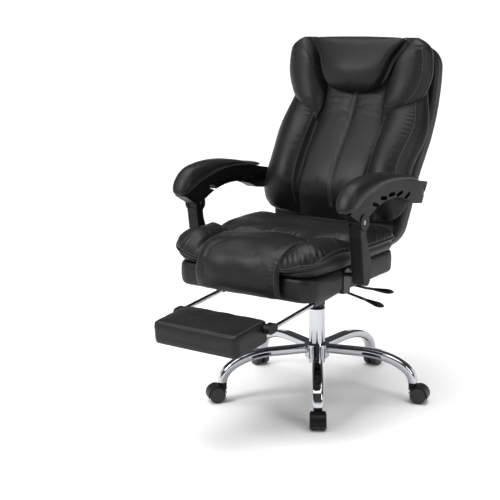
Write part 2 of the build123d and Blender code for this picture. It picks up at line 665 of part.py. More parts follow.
block_inner = PAD_HALF_WIDTH + SOFT_GAP + 0.3
with BuildPart() as footrest_brackets:
    for way in (1, -1):
        with BuildSketch(pad_side.offset(way * block_inner)):
            SlotOverall(CORNER_BLOCK_LENGTH, CORNER_BLOCK_HEIGHT)
        extrude(amount=way * CORNER_BLOCK_WIDTH)
    with BuildSketch(rail_plane(rail_start)):
        with Locations((-RAIL_X, 0), (RAIL_X, 0)):
            Circle(RAIL_RADIUS)
    extrude(amount=rail_length, mode=Mode.SUBTRACT)
    with BuildSketch(pad_side):
        Circle(PAD_AXLE_RADIUS)
    extrude(amount=block_inner + CORNER_BLOCK_WIDTH - 4, both=True, mode=Mode.SUBTRACT)
finish(footrest_brackets, "footrest_brackets")

with BuildPart() as footrest_axle:
    with BuildSketch(pad_side):
        Circle(PAD_AXLE_RADIUS)
    extrude(amount=block_inner + CORNER_BLOCK_WIDTH - 4, both=True)
finish(footrest_axle, "footrest_axle")

pad_board_length = PAD_LENGTH - PAD_BOARD_MARGIN - 2
with BuildPart() as footrest_board:
    with BuildSketch(pad_side):
        with Locations((-PAD_BEHIND_PIVOT + 2, 0)):
            Rectangle(pad_board_length, PAD_BOARD_THICKNESS, align=(Align.MIN, Align.CENTER))
        Circle(PAD_AXLE_RADIUS + RUNNING_FIT, mode=Mode.SUBTRACT)
    extrude(amount=PAD_HALF_WIDTH - PAD_BOARD_MARGIN, both=True)
finish(footrest_board, "footrest_board")

with BuildPart() as footrest_pad:
    with BuildSketch(pad_side):
        with Locations((-PAD_BEHIND_PIVOT, PAD_DROP)):
            Rectangle(PAD_LENGTH, PAD_THICKNESS, align=(Align.MIN, Align.CENTER))
    extrude(amount=PAD_HALF_WIDTH, both=True)
    fillet(footrest_pad.edges(), PAD_ROUND)
    with BuildSketch(pad_side):
        with Locations((-PAD_BEHIND_PIVOT - 1, 0)):
            Rectangle(
                pad_board_length + 3 + SOFT_GAP, PAD_BOARD_THICKNESS + 2 * SOFT_GAP,
                align=(Align.MIN, Align.CENTER),
            )
    extrude(amount=PAD_HALF_WIDTH - PAD_BOARD_MARGIN + SOFT_GAP, both=True, mode=Mode.SUBTRACT)
    with BuildSketch(pad_side):
        Circle(PAD_AXLE_RADIUS + SOFT_GAP)
    extrude(amount=PAD_HALF_WIDTH, both=True, mode=Mode.SUBTRACT)
finish(footrest_pad, "footrest_pad")

# ---------------------------------------------------------------- recline hinge
ear_inner = RECLINE_SHAFT_HALF_LENGTH - EAR_THICKNESS - 2
with BuildPart() as recline_ears:
    for way in (1, -1):
        with BuildSketch(Plane.YZ.offset(way * ear_inner)):
            with BuildLine():
                Polyline(
                    (SEAT_REAR - EAR_FOOT, plate_bottom),
                    (SEAT_REAR - EAR_FOOT, SEAT_BOTTOM),
                    (SEAT_REAR + 4, SEAT_BOTTOM),
                    (RECLINE_Y - EAR_RADIUS, RECLINE_Z),
                    (RECLINE_Y + EAR_RADIUS, RECLINE_Z),
                    (RECLINE_Y + 8, plate_bottom),
                    close=True,
                )
            make_face()
            with Locations((RECLINE_Y, RECLINE_Z)):
                Circle(EAR_RADIUS)
                Circle(RECLINE_SHAFT_RADIUS, mode=Mode.SUBTRACT)
        extrude(amount=way * EAR_THICKNESS)
        with BuildSketch(Plane.XY.offset(SEAT_BOTTOM)):
            with Locations((way * (ear_inner - 12), SEAT_REAR - EAR_FOOT / 2 - BOARD_MARGIN / 2)):
                Rectangle(36, EAR_FOOT - BOARD_MARGIN)
        extrude(amount=-PLATE_THICKNESS)
finish(recline_ears, "recline_ears")

with BuildPart() as recline_shaft:
    with BuildSketch(Plane.YZ):
        with Locations((RECLINE_Y, RECLINE_Z)):
            Circle(RECLINE_SHAFT_RADIUS)
    extrude(amount=RECLINE_SHAFT_HALF_LENGTH, both=True)
finish(recline_shaft, "recline_shaft")

strap_far = SHELL_DEPTH - BOARD_THICKNESS
strap_near = strap_far - STRAP_THICKNESS
with BuildPart() as back_brackets:
    for x in (-HINGE_X, HINGE_X):
        with BuildSketch(Plane.YZ.offset(x)):
            back_strip(strap_near, strap_far - SOFT_GAP, RECLINE_Z + 12, STRAP_TOP)
            with Locations((RECLINE_Y, RECLINE_Z)):
                Circle(BARREL_RADIUS)
        extrude(amount=BARREL_HALF_WIDTH, both=True)
    with BuildSketch(Plane.YZ):
        with Locations((RECLINE_Y, RECLINE_Z)):
            Circle(RECLINE_SHAFT_RADIUS + RUNNING_FIT)
    extrude(amount=RECLINE_SHAFT_HALF_LENGTH, both=True, mode=Mode.SUBTRACT)
finish(back_brackets, "back_brackets")

# ---------------------------------------------------------------- backrest
with BuildPart() as back_board:
    with BuildSketch(Plane.YZ):
        back_strip(strap_far, SHELL_DEPTH, BACK_BOARD_BOTTOM, BACK_BOARD_TOP)
    extrude(amount=back_board_half_width, both=True)
finish(back_board, "back_board")

with BuildPart() as back_shell:
    with BuildSketch(Plane.YZ):
        back_strip(0, SHELL_DEPTH, BACK_LINE[0][1] + 2, BACK_TOP)
    extrude(amount=BACK_HALF_WIDTH, both=True)
    with BuildSketch(Plane.XZ) as shell_outline:
        with BuildLine():
            Polyline(
                (-back_foot_half_width, BACK_LINE[0][1] + 4),
                (-BACK_HALF_WIDTH, PANEL_BOTTOM),
                (-BACK_HALF_WIDTH, BACK_TOP),
                (BACK_HALF_WIDTH, BACK_TOP),
                (BACK_HALF_WIDTH, PANEL_BOTTOM),
                (back_foot_half_width, BACK_LINE[0][1] + 4),
                close=True,
            )
        make_face()
        fillet(shell_outline.vertices().group_by(Axis.Y)[-1], BACK_CORNER)
        fillet(shell_outline.vertices().group_by(Axis.Y)[0], BACK_FOOT_CORNER)
    extrude(amount=BACK_LINE[-1][0] + SHELL_DEPTH, both=True, mode=Mode.INTERSECT)
    with BuildSketch(Plane.YZ):
        back_strip(strap_far - SOFT_GAP, SHELL_DEPTH + 1, BACK_BOARD_BOTTOM - SOFT_GAP,
                   BACK_BOARD_TOP + SOFT_GAP)
    extrude(amount=back_board_half_width + SOFT_GAP, both=True, mode=Mode.SUBTRACT)
    for x in (-HINGE_X, HINGE_X):
        with BuildSketch(Plane.YZ.offset(x)):
            back_strip(strap_near - SOFT_GAP, strap_far + 1, RECLINE_Z + 10, STRAP_TOP + SOFT_GAP)
        extrude(amount=BARREL_HALF_WIDTH + SOFT_GAP, both=True, mode=Mode.SUBTRACT)
    with BuildSketch(Plane.XZ):
        with Locations((0, HINGE_NOTCH_TOP)):
            Rectangle(2 * HINGE_NOTCH_HALF_WIDTH, 100, align=(Align.CENTER, Align.MAX))
    extrude(amount=BACK_LINE[-1][0], both=True, mode=Mode.SUBTRACT)
finish(back_shell, "back_shell")

panel_rear = SHELL_DEPTH + SOFT_GAP
with BuildPart() as back_cushion:
    with BuildSketch(Plane.YZ):
        back_strip(panel_rear, panel_front, PANEL_BOTTOM, PANEL_TOP)
    extrude(amount=panel_half_width, both=True)
    for way in (1, -1):
        with BuildSketch(Plane.YZ.offset(way * BOLSTER_INNER)):
            back_strip(panel_rear + PANEL_DEPTH / 2, panel_front + BOLSTER_RISE, PANEL_BOTTOM, BOLSTER_TOP)
        extrude(amount=way * (panel_half_width - BOLSTER_INNER))
    with BuildSketch(Plane.XZ) as panel_outline:
        with Locations((0, PANEL_BOTTOM - 60)):
            Rectangle(2 * panel_half_width, PANEL_TOP - PANEL_BOTTOM + 60, align=(Align.CENTER, Align.MIN))
        fillet(panel_outline.vertices().group_by(Axis.Y)[-1], BACK_CORNER)
    extrude(amount=BACK_LINE[-1][0] + SHELL_DEPTH, both=True, mode=Mode.INTERSECT)
    for way in (1, -1):
        with BuildSketch(Plane.XZ):
            wing_outline(way, SOFT_GAP)
        extrude(amount=BACK_LINE[-1][0] + SHELL_DEPTH, both=True, mode=Mode.SUBTRACT)
finish(back_cushion, "back_cushion")

with BuildPart() as head_pillow:
    with BuildSketch(Plane.YZ):
        back_strip(panel_front + SOFT_GAP, panel_front + PILLOW_RISE, PILLOW_BOTTOM, PILLOW_TOP)
    extrude(amount=PILLOW_HALF_WIDTH, both=True)
    fillet(head_pillow.edges().filter_by(GeomType.LINE).group_by(Axis.Y)[0], PILLOW_ROUND)
finish(head_pillow, "head_pillow")

for way, hand in ((1, "right"), (-1, "left")):
    with BuildPart() as wing:
        with BuildSketch(Plane.YZ.offset(way * WING_INNER)):
            back_strip(panel_rear, panel_front + WING_RISE, BACK_WING_FOOT, WING_TOP)
        extrude(amount=way * (BACK_HALF_WIDTH - WING_INNER))
        with BuildSketch(Plane.XZ):
            wing_outline(way)
        extrude(amount=BACK_LINE[-1][0] + SHELL_DEPTH, both=True, mode=Mode.INTERSECT)
    finish(wing, f"wing_{hand}")

# ---------------------------------------------------------------- armrests
plate_inner = BACK_HALF_WIDTH + SOFT_GAP
plate_centre = (ARM_REAR_PIVOT[0] + ARM_PLATE_SET_BACK, ARM_REAR_PIVOT[1] + ARM_PLATE_RAISE)
pin_head_at = arm_outer - ARM_PIN_RECESS + 0.2
with BuildPart() as arm_mounts:
    for way in (1, -1):
        with BuildSketch(Plane.YZ.offset(way * plate_inner)):
            SlotCenterPoint(plate_centre, ARM_REAR_PIVOT, ARM_PLATE_WIDTH)
        extrude(amount=way * ARM_PLATE_THICKNESS)
        with BuildSketch(Plane.YZ.offset(way * plate_inner)):
            with Locations(ARM_REAR_PIVOT):
                Circle(ARM_PIN_RADIUS)
        extrude(amount=way * (pin_head_at - plate_inner + 0.5))
        with BuildSketch(Plane.YZ.offset(way * pin_head_at)):
            with Locations(ARM_REAR_PIVOT):
                Circle(ARM_PIN_HEAD_RADIUS)
        extrude(amount=way * ARM_PIN_HEAD_HEIGHT)
finish(arm_mounts, "arm_mounts")

bracket_inner = SEAT_HALF_WIDTH + SOFT_GAP
with BuildPart() as arm_seat_brackets:
    for way in (1, -1):
        with BuildSketch(Plane.YZ.offset(way * bracket_inner)):
            with Locations(ARM_FOOT_PIVOT):
                Circle(FOOT_PLATE_WIDTH / 2)
                Rectangle(
                    FOOT_PLATE_WIDTH, ARM_FOOT_PIVOT[1] - plate_bottom, align=(Align.CENTER, Align.MAX)
                )
        extrude(amount=way * ARM_PLATE_THICKNESS)
        with BuildSketch(Plane.XY.offset(plate_bottom)):
            with Locations((way * (bracket_inner + ARM_PLATE_THICKNESS), ARM_FOOT_PIVOT[0])):
                Rectangle(
                    FOOT_TAB_LENGTH, FOOT_PLATE_WIDTH,
                    align=(Align.MAX if way > 0 else Align.MIN, Align.CENTER),
                )
        extrude(amount=PLATE_THICKNESS)
        with BuildSketch(Plane.YZ.offset(way * bracket_inner)):
            with Locations(ARM_FOOT_PIVOT):
                Circle(FOOT_PIN_RADIUS)
        extrude(amount=way * (arm_inner - bracket_inner + FOOT_PIN_REACH))
finish(arm_seat_brackets, "arm_seat_brackets")

front_y, front_z = ARM_FRONT_PIVOT
slot_arc = ThreePointArc(*ARM_SLOT_LINE)
pad_foot = [(y, z + SOFT_GAP) for y, z in ARM_TOP_LINE]
for way, hand in ((1, "right"), (-1, "left")):
    with BuildPart() as arm_frame:
        with BuildSketch(Plane.YZ.offset(way * arm_inner)):
            with BuildLine():
                ThreePointArc(*ARM_TOP_LINE)
                Polyline(*ARM_REAR_END)
                ThreePointArc(*ARM_ARCH)
                Polyline(*ARM_NOSE)
            make_face()
        extrude(amount=way * 2 * ARM_HALF_WIDTH)
        with BuildSketch(Plane.YZ.offset(way * arm_inner)):
            with Locations(ARM_FRONT_PIVOT):
                Circle(ARM_DISC_RADIUS)
        extrude(amount=way * (2 * ARM_HALF_WIDTH + ARM_DISC_PROUD))
        with BuildSketch(Plane.YZ.offset(way * (arm_x - TONGUE_HALF_WIDTH - SIDE_PLAY))):
            with Locations(ARM_FRONT_PIVOT):
                Circle(TONGUE_RADIUS + 1.5)
                Rectangle(2 * TONGUE_RADIUS + 30, 60, align=(Align.CENTER, Align.MAX))
        extrude(amount=way * 2 * (TONGUE_HALF_WIDTH + SIDE_PLAY), mode=Mode.SUBTRACT)
        with BuildSketch(Plane.YZ.offset(way * (arm_inner - ARM_BOSS_INSET))):
            with Locations(ARM_REAR_PIVOT):
                Circle(ARM_BOSS_RADIUS)
        extrude(amount=way * (ARM_BOSS_INSET + 2))
        with BuildSketch(Plane.YZ.offset(way * (arm_inner - ARM_BOSS_INSET))):
            with Locations(ARM_REAR_PIVOT):
                Circle(ARM_PIN_RADIUS + RUNNING_FIT)
        extrude(amount=way * (ARM_BOSS_INSET + 2 * ARM_HALF_WIDTH), mode=Mode.SUBTRACT)
        with BuildSketch(Plane.YZ.offset(way * arm_outer)):
            with Locations(ARM_REAR_PIVOT):
                Circle(ARM_PIN_HEAD_RADIUS + 1.5)
        extrude(amount=-way * ARM_PIN_RECESS, mode=Mode.SUBTRACT)
        with BuildSketch(Plane.YZ.offset(way * arm_inner)):
            with Locations(ARM_FRONT_PIVOT):
                Circle(ARM_BOLT_RADIUS)
        extrude(amount=way * (2 * ARM_HALF_WIDTH + ARM_DISC_PROUD), mode=Mode.SUBTRACT)
        with BuildSketch(Plane.YZ.offset(way * (arm_outer + ARM_DISC_PROUD))):
            with Locations(ARM_FRONT_PIVOT):
                Circle(ARM_BOLT_HEAD_RADIUS + 0.5)
        extrude(amount=-way * (ARM_BOLT_HEAD_HEIGHT + 1), mode=Mode.SUBTRACT)
        with BuildSketch(Plane.YZ.offset(way * arm_inner)):
            for cell in range(ARM_SLOT_CELLS):
                place = (cell + 0.5) / ARM_SLOT_CELLS
                middle, along = slot_arc @ place, slot_arc % place
                with Locations(Location((middle.X, middle.Y), -along.get_signed_angle(Vector(1, 0, 0)))):
                    SlotOverall(ARM_SLOT_CELL_LENGTH, ARM_SLOT_HEIGHT)
        extrude(amount=way * 2 * ARM_HALF_WIDTH, mode=Mode.SUBTRACT)
    finish(arm_frame, f"arm_frame_{hand}")

    with BuildPart() as arm_pad:
        with BuildSketch(Plane.YZ.offset(way * (arm_x - ARM_PAD_HALF_WIDTH))):
            with BuildLine():
                ThreePointArc(*pad_foot)
                Line(pad_foot[-1], ARM_PAD_CROWN[0])
                Spline(*ARM_PAD_CROWN)
                Line(ARM_PAD_CROWN[-1], pad_foot[0])
            make_face()
        extrude(amount=way * 2 * ARM_PAD_HALF_WIDTH)
        with BuildSketch() as pad_outline:
            with Locations((way * arm_x, (ARM_PAD_FRONT + ARM_PAD_REAR) / 2)):
                Rectangle(2 * ARM_PAD_HALF_WIDTH, ARM_PAD_REAR - ARM_PAD_FRONT)
            fillet(pad_outline.vertices().group_by(Axis.Y)[0], ARM_PAD_TIP_ROUND)
        extrude(amount=800, mode=Mode.INTERSECT)
    finish(arm_pad, f"arm_pad_{hand}")

    with BuildPart() as arm_bolt:
        with BuildSketch(Plane.YZ.offset(way * arm_inner)):
            with Locations(ARM_FRONT_PIVOT):
                Circle(ARM_BOLT_RADIUS)
        extrude(amount=way * (2 * ARM_HALF_WIDTH + ARM_DISC_PROUD - ARM_BOLT_HEAD_HEIGHT))
        with BuildSketch(Plane.YZ.offset(way * (arm_outer + ARM_DISC_PROUD - 1))):
            with Locations(ARM_FRONT_PIVOT):
                Circle(ARM_BOLT_HEAD_RADIUS)
                RegularPolygon(3, 6, mode=Mode.SUBTRACT)
        extrude(amount=-way * ARM_BOLT_HEAD_HEIGHT)
    finish(arm_bolt, f"arm_bolt_{hand}")

    with BuildPart() as upright:
        with BuildSketch(Plane.YZ.offset(way * arm_inner)):
            with BuildLine():
                Line(UPRIGHT_NECK[-1], UPRIGHT_TOE[0])
                ThreePointArc(*UPRIGHT_TOE)
                Spline(UPRIGHT_TOE[-1], *UPRIGHT_CALF, UPRIGHT_NECK[0])
                Line(*UPRIGHT_NECK)
            make_face()
        extrude(amount=way * 2 * ARM_HALF_WIDTH)
        side_edges = upright.faces().filter_by(Axis.X).edges()
        long_edges = side_edges.filter_by(lambda edge: edge.length > UPRIGHT_EDGE_LENGTH)
        fillet(long_edges, UPRIGHT_EDGE_ROUND)
        with BuildSketch(Plane.YZ.offset(way * arm_inner)):
            with Locations(ARM_FRONT_PIVOT):
                Circle(ARM_DISC_RADIUS + 1.5)
        extrude(amount=way * 2 * ARM_HALF_WIDTH, mode=Mode.SUBTRACT)
        with BuildSketch(Plane.YZ.offset(way * (arm_x - TONGUE_HALF_WIDTH))):
            with Locations(ARM_FRONT_PIVOT):
                Circle(TONGUE_RADIUS)
            with Locations((front_y - 2, front_z)):
                Rectangle(*TONGUE_SHANK, align=(Align.CENTER, Align.MAX))
        extrude(amount=way * 2 * TONGUE_HALF_WIDTH)
        with BuildSketch(Plane.YZ.offset(way * (arm_x - TONGUE_HALF_WIDTH))):
            with Locations(ARM_FRONT_PIVOT):
                Circle(ARM_BOLT_RADIUS + RUNNING_FIT)
        extrude(amount=way * 2 * TONGUE_HALF_WIDTH, mode=Mode.SUBTRACT)
        with BuildSketch(Plane.YZ.offset(way * arm_inner)):
            with Locations(ARM_FOOT_PIVOT):
                Circle(FOOT_PIN_RADIUS + FOOT_PIN_SLACK)
        extrude(amount=way * (FOOT_PIN_REACH + 2), mode=Mode.SUBTRACT)
    finish(upright, f"arm_upright_{hand}")
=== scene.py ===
"""Reclining office chair: upholstery, finishes, camera and studio for the CAD frame.

Metres, +Z up, the sitter faces -Y, origin on the floor under the gas lift.
"""

import bpy
import numpy as np
from mathutils import Matrix, Vector
from mathutils.bvhtree import BVHTree


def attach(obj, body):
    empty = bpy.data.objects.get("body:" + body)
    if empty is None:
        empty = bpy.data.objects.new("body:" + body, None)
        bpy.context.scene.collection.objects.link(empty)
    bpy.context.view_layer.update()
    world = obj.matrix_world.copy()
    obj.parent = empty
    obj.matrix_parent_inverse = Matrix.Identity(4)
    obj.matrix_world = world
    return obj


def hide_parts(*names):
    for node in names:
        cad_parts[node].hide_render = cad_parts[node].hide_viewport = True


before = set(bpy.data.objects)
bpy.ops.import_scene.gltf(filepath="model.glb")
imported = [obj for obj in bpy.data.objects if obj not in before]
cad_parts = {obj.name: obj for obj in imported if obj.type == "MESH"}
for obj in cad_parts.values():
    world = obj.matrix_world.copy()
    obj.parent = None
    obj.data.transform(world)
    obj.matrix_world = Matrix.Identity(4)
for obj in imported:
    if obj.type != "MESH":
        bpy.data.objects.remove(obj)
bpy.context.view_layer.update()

# -------------------- sizes shared with the frame
BACK_LINE = np.array([
    (148, 455), (163, 560), (212, 670), (278, 760), (326, 850), (352, 940), (360, 1010), (362, 1095),
]) / 1000
PANEL_REAR, PANEL_FRONT = 0.0508, 0.1143    # how far the middle panel's two faces stand off that line
ARM_X = 0.281
FOOT_SLOPE = np.radians(5.0)
FOOT_ALONG = np.array([0, np.cos(FOOT_SLOPE), np.sin(FOOT_SLOPE)])
FOOT_UP = np.array([0, -np.sin(FOOT_SLOPE), np.cos(FOOT_SLOPE)])
FOOT_PIVOT = np.array([0, -0.480, 0.351])
FOOT_CENTRE = FOOT_PIVOT - FOOT_ALONG * 0.065 - FOOT_UP * 0.012
SIDES = ((1, "right"), (-1, "left"))     # right is the side at +X


# -------------------- curves and closed forms
def cubic_through(knots_x, knots_y):
    """Natural cubic spline: second derivatives from the usual tridiagonal system, then the cubic
    between each pair of knots. Returns a function giving value and slope for an array."""
    x, y = np.asarray(knots_x, float), np.asarray(knots_y, float)
    n, h = len(x), np.diff(x)
    system, right = np.eye(n), np.zeros(n)
    for i in range(1, n - 1):
        system[i, i - 1:i + 2] = h[i - 1], 2 * (h[i - 1] + h[i]), h[i]
        right[i] = 6 * ((y[i + 1] - y[i]) / h[i] - (y[i] - y[i - 1]) / h[i - 1])
    m = np.linalg.solve(system, right)

    def curve(at):
        i = np.clip(np.searchsorted(x, at) - 1, 0, n - 2)
        a, b = (x[i + 1] - at) / h[i], (at - x[i]) / h[i]
        value = a * y[i] + b * y[i + 1] + ((a**3 - a) * m[i] + (b**3 - b) * m[i + 1]) * h[i]**2 / 6
        slope = (y[i + 1] - y[i]) / h[i] + ((3 * b**2 - 1) * m[i + 1] - (3 * a**2 - 1) * m[i]) * h[i] / 6
        return value, slope

    return curve


rear_line = cubic_through(BACK_LINE[:, 1], BACK_LINE[:, 0])


def on_back(x, height, depth):
    """Point across the back at x, at a height on its rear line, and a depth in front of the line
    measured square to it: the line's point plus depth times its normal."""
    y, slope = rear_line(height)
    unit = 1 / np.sqrt(1 + slope**2)
    return np.stack([x + 0 * y, y - depth * unit, height + depth * slope * unit], axis=-1)


def bell(x, centre, width):
    """exp(-((x - centre) / width) squared): one at the centre, fading over the width."""
    return np.exp(-((x - centre) / width)**2)


def ease(x, start, end):
    """Smooth step from 0 at start to 1 at end: 3t² - 2t³ of the clipped share t."""
    t = np.clip((x - start) / (end - start), 0, 1)
    return t * t * (3 - 2 * t)


def unit_rows(rows):
    """Each row divided by its length."""
    return rows / np.maximum(np.linalg.norm(rows, axis=1, keepdims=True), 1e-9)


def crumple(a, b, seed, waves=7):
    """Soft creases: a sum of sines of a and b at seeded angles and phases, scaled to about -1 to 1."""
    r = np.random.default_rng(seed)
    total = np.zeros(np.broadcast(a, b).shape)
    draws = zip(r.uniform(0, np.pi, waves), r.uniform(0, 6.28, waves), r.uniform(0.7, 1.6, waves))
    for angle, phase, pitch in draws:
        total += np.sin((a * np.cos(angle) + b * np.sin(angle)) * pitch + phase)
    return total / waves**0.5 / 1.6


def cube_grid(counts):
    """The surface of the cube from -1 to 1 as six grids welded along their edges.
    Returns points and quads whose corners run so that faces point outwards."""
    points, quads, base = [], [], 0
    for axis in range(3):
        u, v = (axis + 1) % 3, (axis + 2) % 3
        for way in (-1.0, 1.0):
            a, b = np.meshgrid(np.linspace(-1, 1, counts[u] + 1), np.linspace(-1, 1, counts[v] + 1),
                               indexing="ij")
            face = np.empty(a.shape + (3,))
            face[..., axis], face[..., u], face[..., v] = way, a, b
            index = base + np.arange(a.size).reshape(a.shape)
            ring = [index[:-1, :-1], index[1:, :-1], index[1:, 1:], index[:-1, 1:]]
            quads.append(np.stack(ring if way > 0 else ring[::-1], axis=-1).reshape(-1, 4))
            points.append(face.reshape(-1, 3))
            base += a.size
    points, quads = np.concatenate(points), np.concatenate(quads)
    welded, back = np.unique(np.round(points, 7), axis=0, return_inverse=True)
    return welded, back.reshape(-1)[quads]


def slab(half, corner, rim, step, section=None):
    """Closed cushion blank: the cube surface scaled to half sizes, its rim turned to a quarter
    circle of radius rim (direction from the rim's centre, normalised), and its plan corners turned
    to quarter circles by drawing the square corner zone in to a disc. A section, if given, turns
    each point's distance from the outline and its height into new ones. Returns x, y, z and quads."""
    half = np.asarray(half, float)
    q, quads = cube_grid([max(4, int(round(2 * v / step))) for v in half])
    x, y, z = (q * half).T
    edge = np.minimum(half[0] - abs(x), half[1] - abs(y))
    over, up = np.clip(rim - edge, 0, None), np.clip(rim - half[2] + abs(z), 0, None)
    reach = np.maximum(np.hypot(over, up), 1e-9)
    near = np.maximum(over, up) >= rim * 0.999999
    new_edge = np.where(over > 0, rim - rim * over / reach, edge)
    z = np.sign(z) * np.where(near & (up > 0), half[2] - rim + rim * up / reach, abs(z))
    if section:
        new_edge, z = section(new_edge, z)
    dx, dy = abs(x) - (half[0] - corner), abs(y) - (half[1] - corner)
    stretch = (corner - new_edge) / np.maximum(corner - edge, 1e-9)
    nx, ny = np.where(dx > 0, dx * stretch, dx), np.where(dy > 0, dy * stretch, dy)
    both = (nx > 0) & (ny > 0)
    disc = np.where(both, np.maximum(nx, ny) / np.maximum(np.hypot(nx, ny), 1e-9), 1)
    nx, ny = np.where(both, nx * disc, nx), np.where(both, ny * disc, ny)
    return np.sign(x) * (nx + half[0] - corner), np.sign(y) * (ny + half[1] - corner), z, quads


def new_object(name, data):
    """Object with the given data, at the origin and in the scene."""
    piece = bpy.data.objects.new(name, data)
    bpy.context.scene.collection.objects.link(piece)
    return piece


def make_mesh(name, points, quads):
    """Puts whole arrays into a smooth-shaded mesh object."""
    mesh = bpy.data.meshes.new(name)
    faces = quads.tolist() if isinstance(quads, np.ndarray) else list(quads)
    mesh.from_pydata(np.asarray(points).reshape(-1, 3).tolist(), [], faces)
    mesh.polygons.foreach_set("use_smooth", [True] * len(mesh.polygons))
    mesh.update()
    return new_object(name, mesh)


CLOTH_FRAMES = 20
PRESSURE = 4.0


def filled(piece, held, grow, cap, pressure=PRESSURE):
    """Swells a closed cover the way its filling does, with the cloth solver, and keeps the result:
    held is 1 where seams or the frame hold the cover, grow is the spare cloth as a share, and no
    point moves further than cap. One level of subdivision follows."""
    count = len(piece.data.vertices)
    start, end = np.empty(3 * count), np.empty(3 * count)
    piece.data.vertices.foreach_get("co", start)
    group = piece.vertex_groups.new(name="held")
    share = np.round(np.clip(held, 0, 1), 1)
    for level in np.unique(share[share > 0]):
        group.add(np.nonzero(share == level)[0].tolist(), float(level), "REPLACE")
    cover = piece.modifiers.new("cover", "CLOTH")
    cover.collision_settings.use_collision = False
    cover.point_cache.frame_end = CLOTH_FRAMES
    settings = cover.settings
    settings.quality, settings.mass = 6, 0.3
    settings.tension_stiffness = settings.compression_stiffness = 20
    settings.shear_stiffness, settings.bending_stiffness = 8, 0.6
    settings.use_pressure, settings.uniform_pressure_force = True, pressure
    settings.shrink_min = -grow
    settings.effector_weights.gravity = 0
    settings.vertex_group_mass = "held"
    for frame_number in range(1, CLOTH_FRAMES + 1):
        bpy.context.scene.frame_set(frame_number)
    swollen = piece.evaluated_get(bpy.context.evaluated_depsgraph_get()).to_mesh()
    swollen.vertices.foreach_get("co", end)
    move = (end - start).reshape(-1, 3)
    reach = np.linalg.norm(move, axis=1, keepdims=True)
    move *= cap * np.tanh(reach / cap) / np.maximum(reach, 1e-9)
    piece.evaluated_get(bpy.context.evaluated_depsgraph_get()).to_mesh_clear()
    piece.modifiers.remove(cover)
    piece.data.vertices.foreach_set("co", start + move.ravel())
    piece.data.update()
    piece.vertex_groups.remove(group)
    bpy.context.scene.frame_set(1)
    smooth = piece.modifiers.new("subdivision", "SUBSURF")
    smooth.levels = smooth.render_levels = 1
    return piece


def tube(path, radius, sides=8, closed=False):
    """Round cord along a path: a circle in the plane square to each chord. A closed path joins up,
    and an open one is drawn in to a small flat end."""
    path = np.asarray(path, float)
    along = np.roll(path, -1, axis=0) - np.roll(path, 1, axis=0) if closed else np.gradient(path, axis=0)
    along = unit_rows(along)
    side = unit_rows(np.cross(along, [0.13, 0.21, 0.97]))
    third = np.cross(side, along)
    angle = np.linspace(0, 2 * np.pi, sides, endpoint=False)
    size = np.full(len(path), radius)
    if not closed:
        size[[0, -1]] = radius * 0.3
    rings = path[:, None] + size[:, None, None] * (
        np.cos(angle)[None, :, None] * side[:, None] + np.sin(angle)[None, :, None] * third[:, None])
    index = np.arange(len(path) * sides).reshape(len(path), sides)
    after = np.roll(index, -1, axis=0) if closed else index[1:]
    index = index if closed else index[:-1]
    quads = np.stack([index, after, np.roll(after, -1, axis=1), np.roll(index, -1, axis=1)], axis=-1)
    quads = quads.reshape(-1, 4).tolist()
    if not closed:
        last = len(path) * sides - 1
        quads += [list(range(sides)), list(range(last, last - sides, -1))]
    return rings.reshape(-1, 3), quads


def cords(name, runs, radius):
    """Several tubes as one mesh; runs holds (path, closed)."""
    points, faces, count = [], [], 0
    for path, closed in runs:
        ring, quads = tube(path, radius, closed=closed)
        points.append(ring)
        faces += [[corner + count for corner in quad] for quad in quads]
        count += len(ring)
    return make_mesh(name, np.concatenate(points), faces)


def round_rectangle(half_x, half_y, corner, step=0.004):
    """Closed outline of a rectangle with quarter-circle corners, anticlockwise at an even pitch."""
    angle = np.linspace(0, np.pi / 2, 16)
    points = []
    for quarter, (sx, sy) in enumerate(((1, 1), (-1, 1), (-1, -1), (1, -1))):
        turn = angle + quarter * np.pi / 2
        points.append(np.stack([sx * (half_x - corner) + corner * np.cos(turn),
                                sy * (half_y - corner) + corner * np.sin(turn), 0 * turn], axis=-1))
    loop = np.concatenate(points + [points[0][:1]])
    return evenly(loop, step)[:-1, :2]


def outward(loop):
    """Level outward directions of a closed anticlockwise outline: its chords turned by 90 degrees."""
    along = np.roll(loop, -1, axis=0) - np.roll(loop, 1, axis=0)
    return unit_rows(np.stack([along[:, 1], -along[:, 0], 0 * along[:, 0]], axis=-1))


def surface_of(piece):
    """Search tree of a finished piece, for laying seams on it."""
    return BVHTree.FromObject(piece, bpy.context.evaluated_depsgraph_get())


THREAD_LIFT = 0.0003     # stitches stand this far off the cover


def laid_on(tree, points, inward, reach=0.06):
    """Each point is dropped onto the surface along inward, from reach outside it, and raised by
    the thread's lift. Points that miss are left out. Returns places and outward normals."""
    places, normals = [], []
    inward = np.broadcast_to(inward, np.shape(points))
    for point, way in zip(np.asarray(points), inward):
        way = Vector(way).normalized()
        found, normal, _, _ = tree.ray_cast(Vector(point) - way * reach, way, 3 * reach)
        if found is not None:
            if normal.dot(way) > 0:
                normal = -normal
            places.append(found + normal * THREAD_LIFT)
            normals.append(normal)
    return np.array(places).reshape(-1, 3), np.array(normals).reshape(-1, 3)


def running_length(path):
    """Length along a path up to each of its points."""
    return np.concatenate([[0], np.cumsum(np.linalg.norm(np.diff(path, axis=0), axis=1))])


def read_at(at, run, rows):
    """Rows given along a path, interpolated at the running lengths in at."""
    return np.stack([np.interp(at, run, rows[:, k]) for k in range(3)], axis=-1)


def evenly(path, pitch):
    """Points at an even pitch along a path, by interpolating over its running length."""
    path = np.asarray(path, float)
    run = running_length(path)
    return read_at(np.linspace(0, run[-1], max(2, int(round(run[-1] / pitch)) + 1)), run, path)


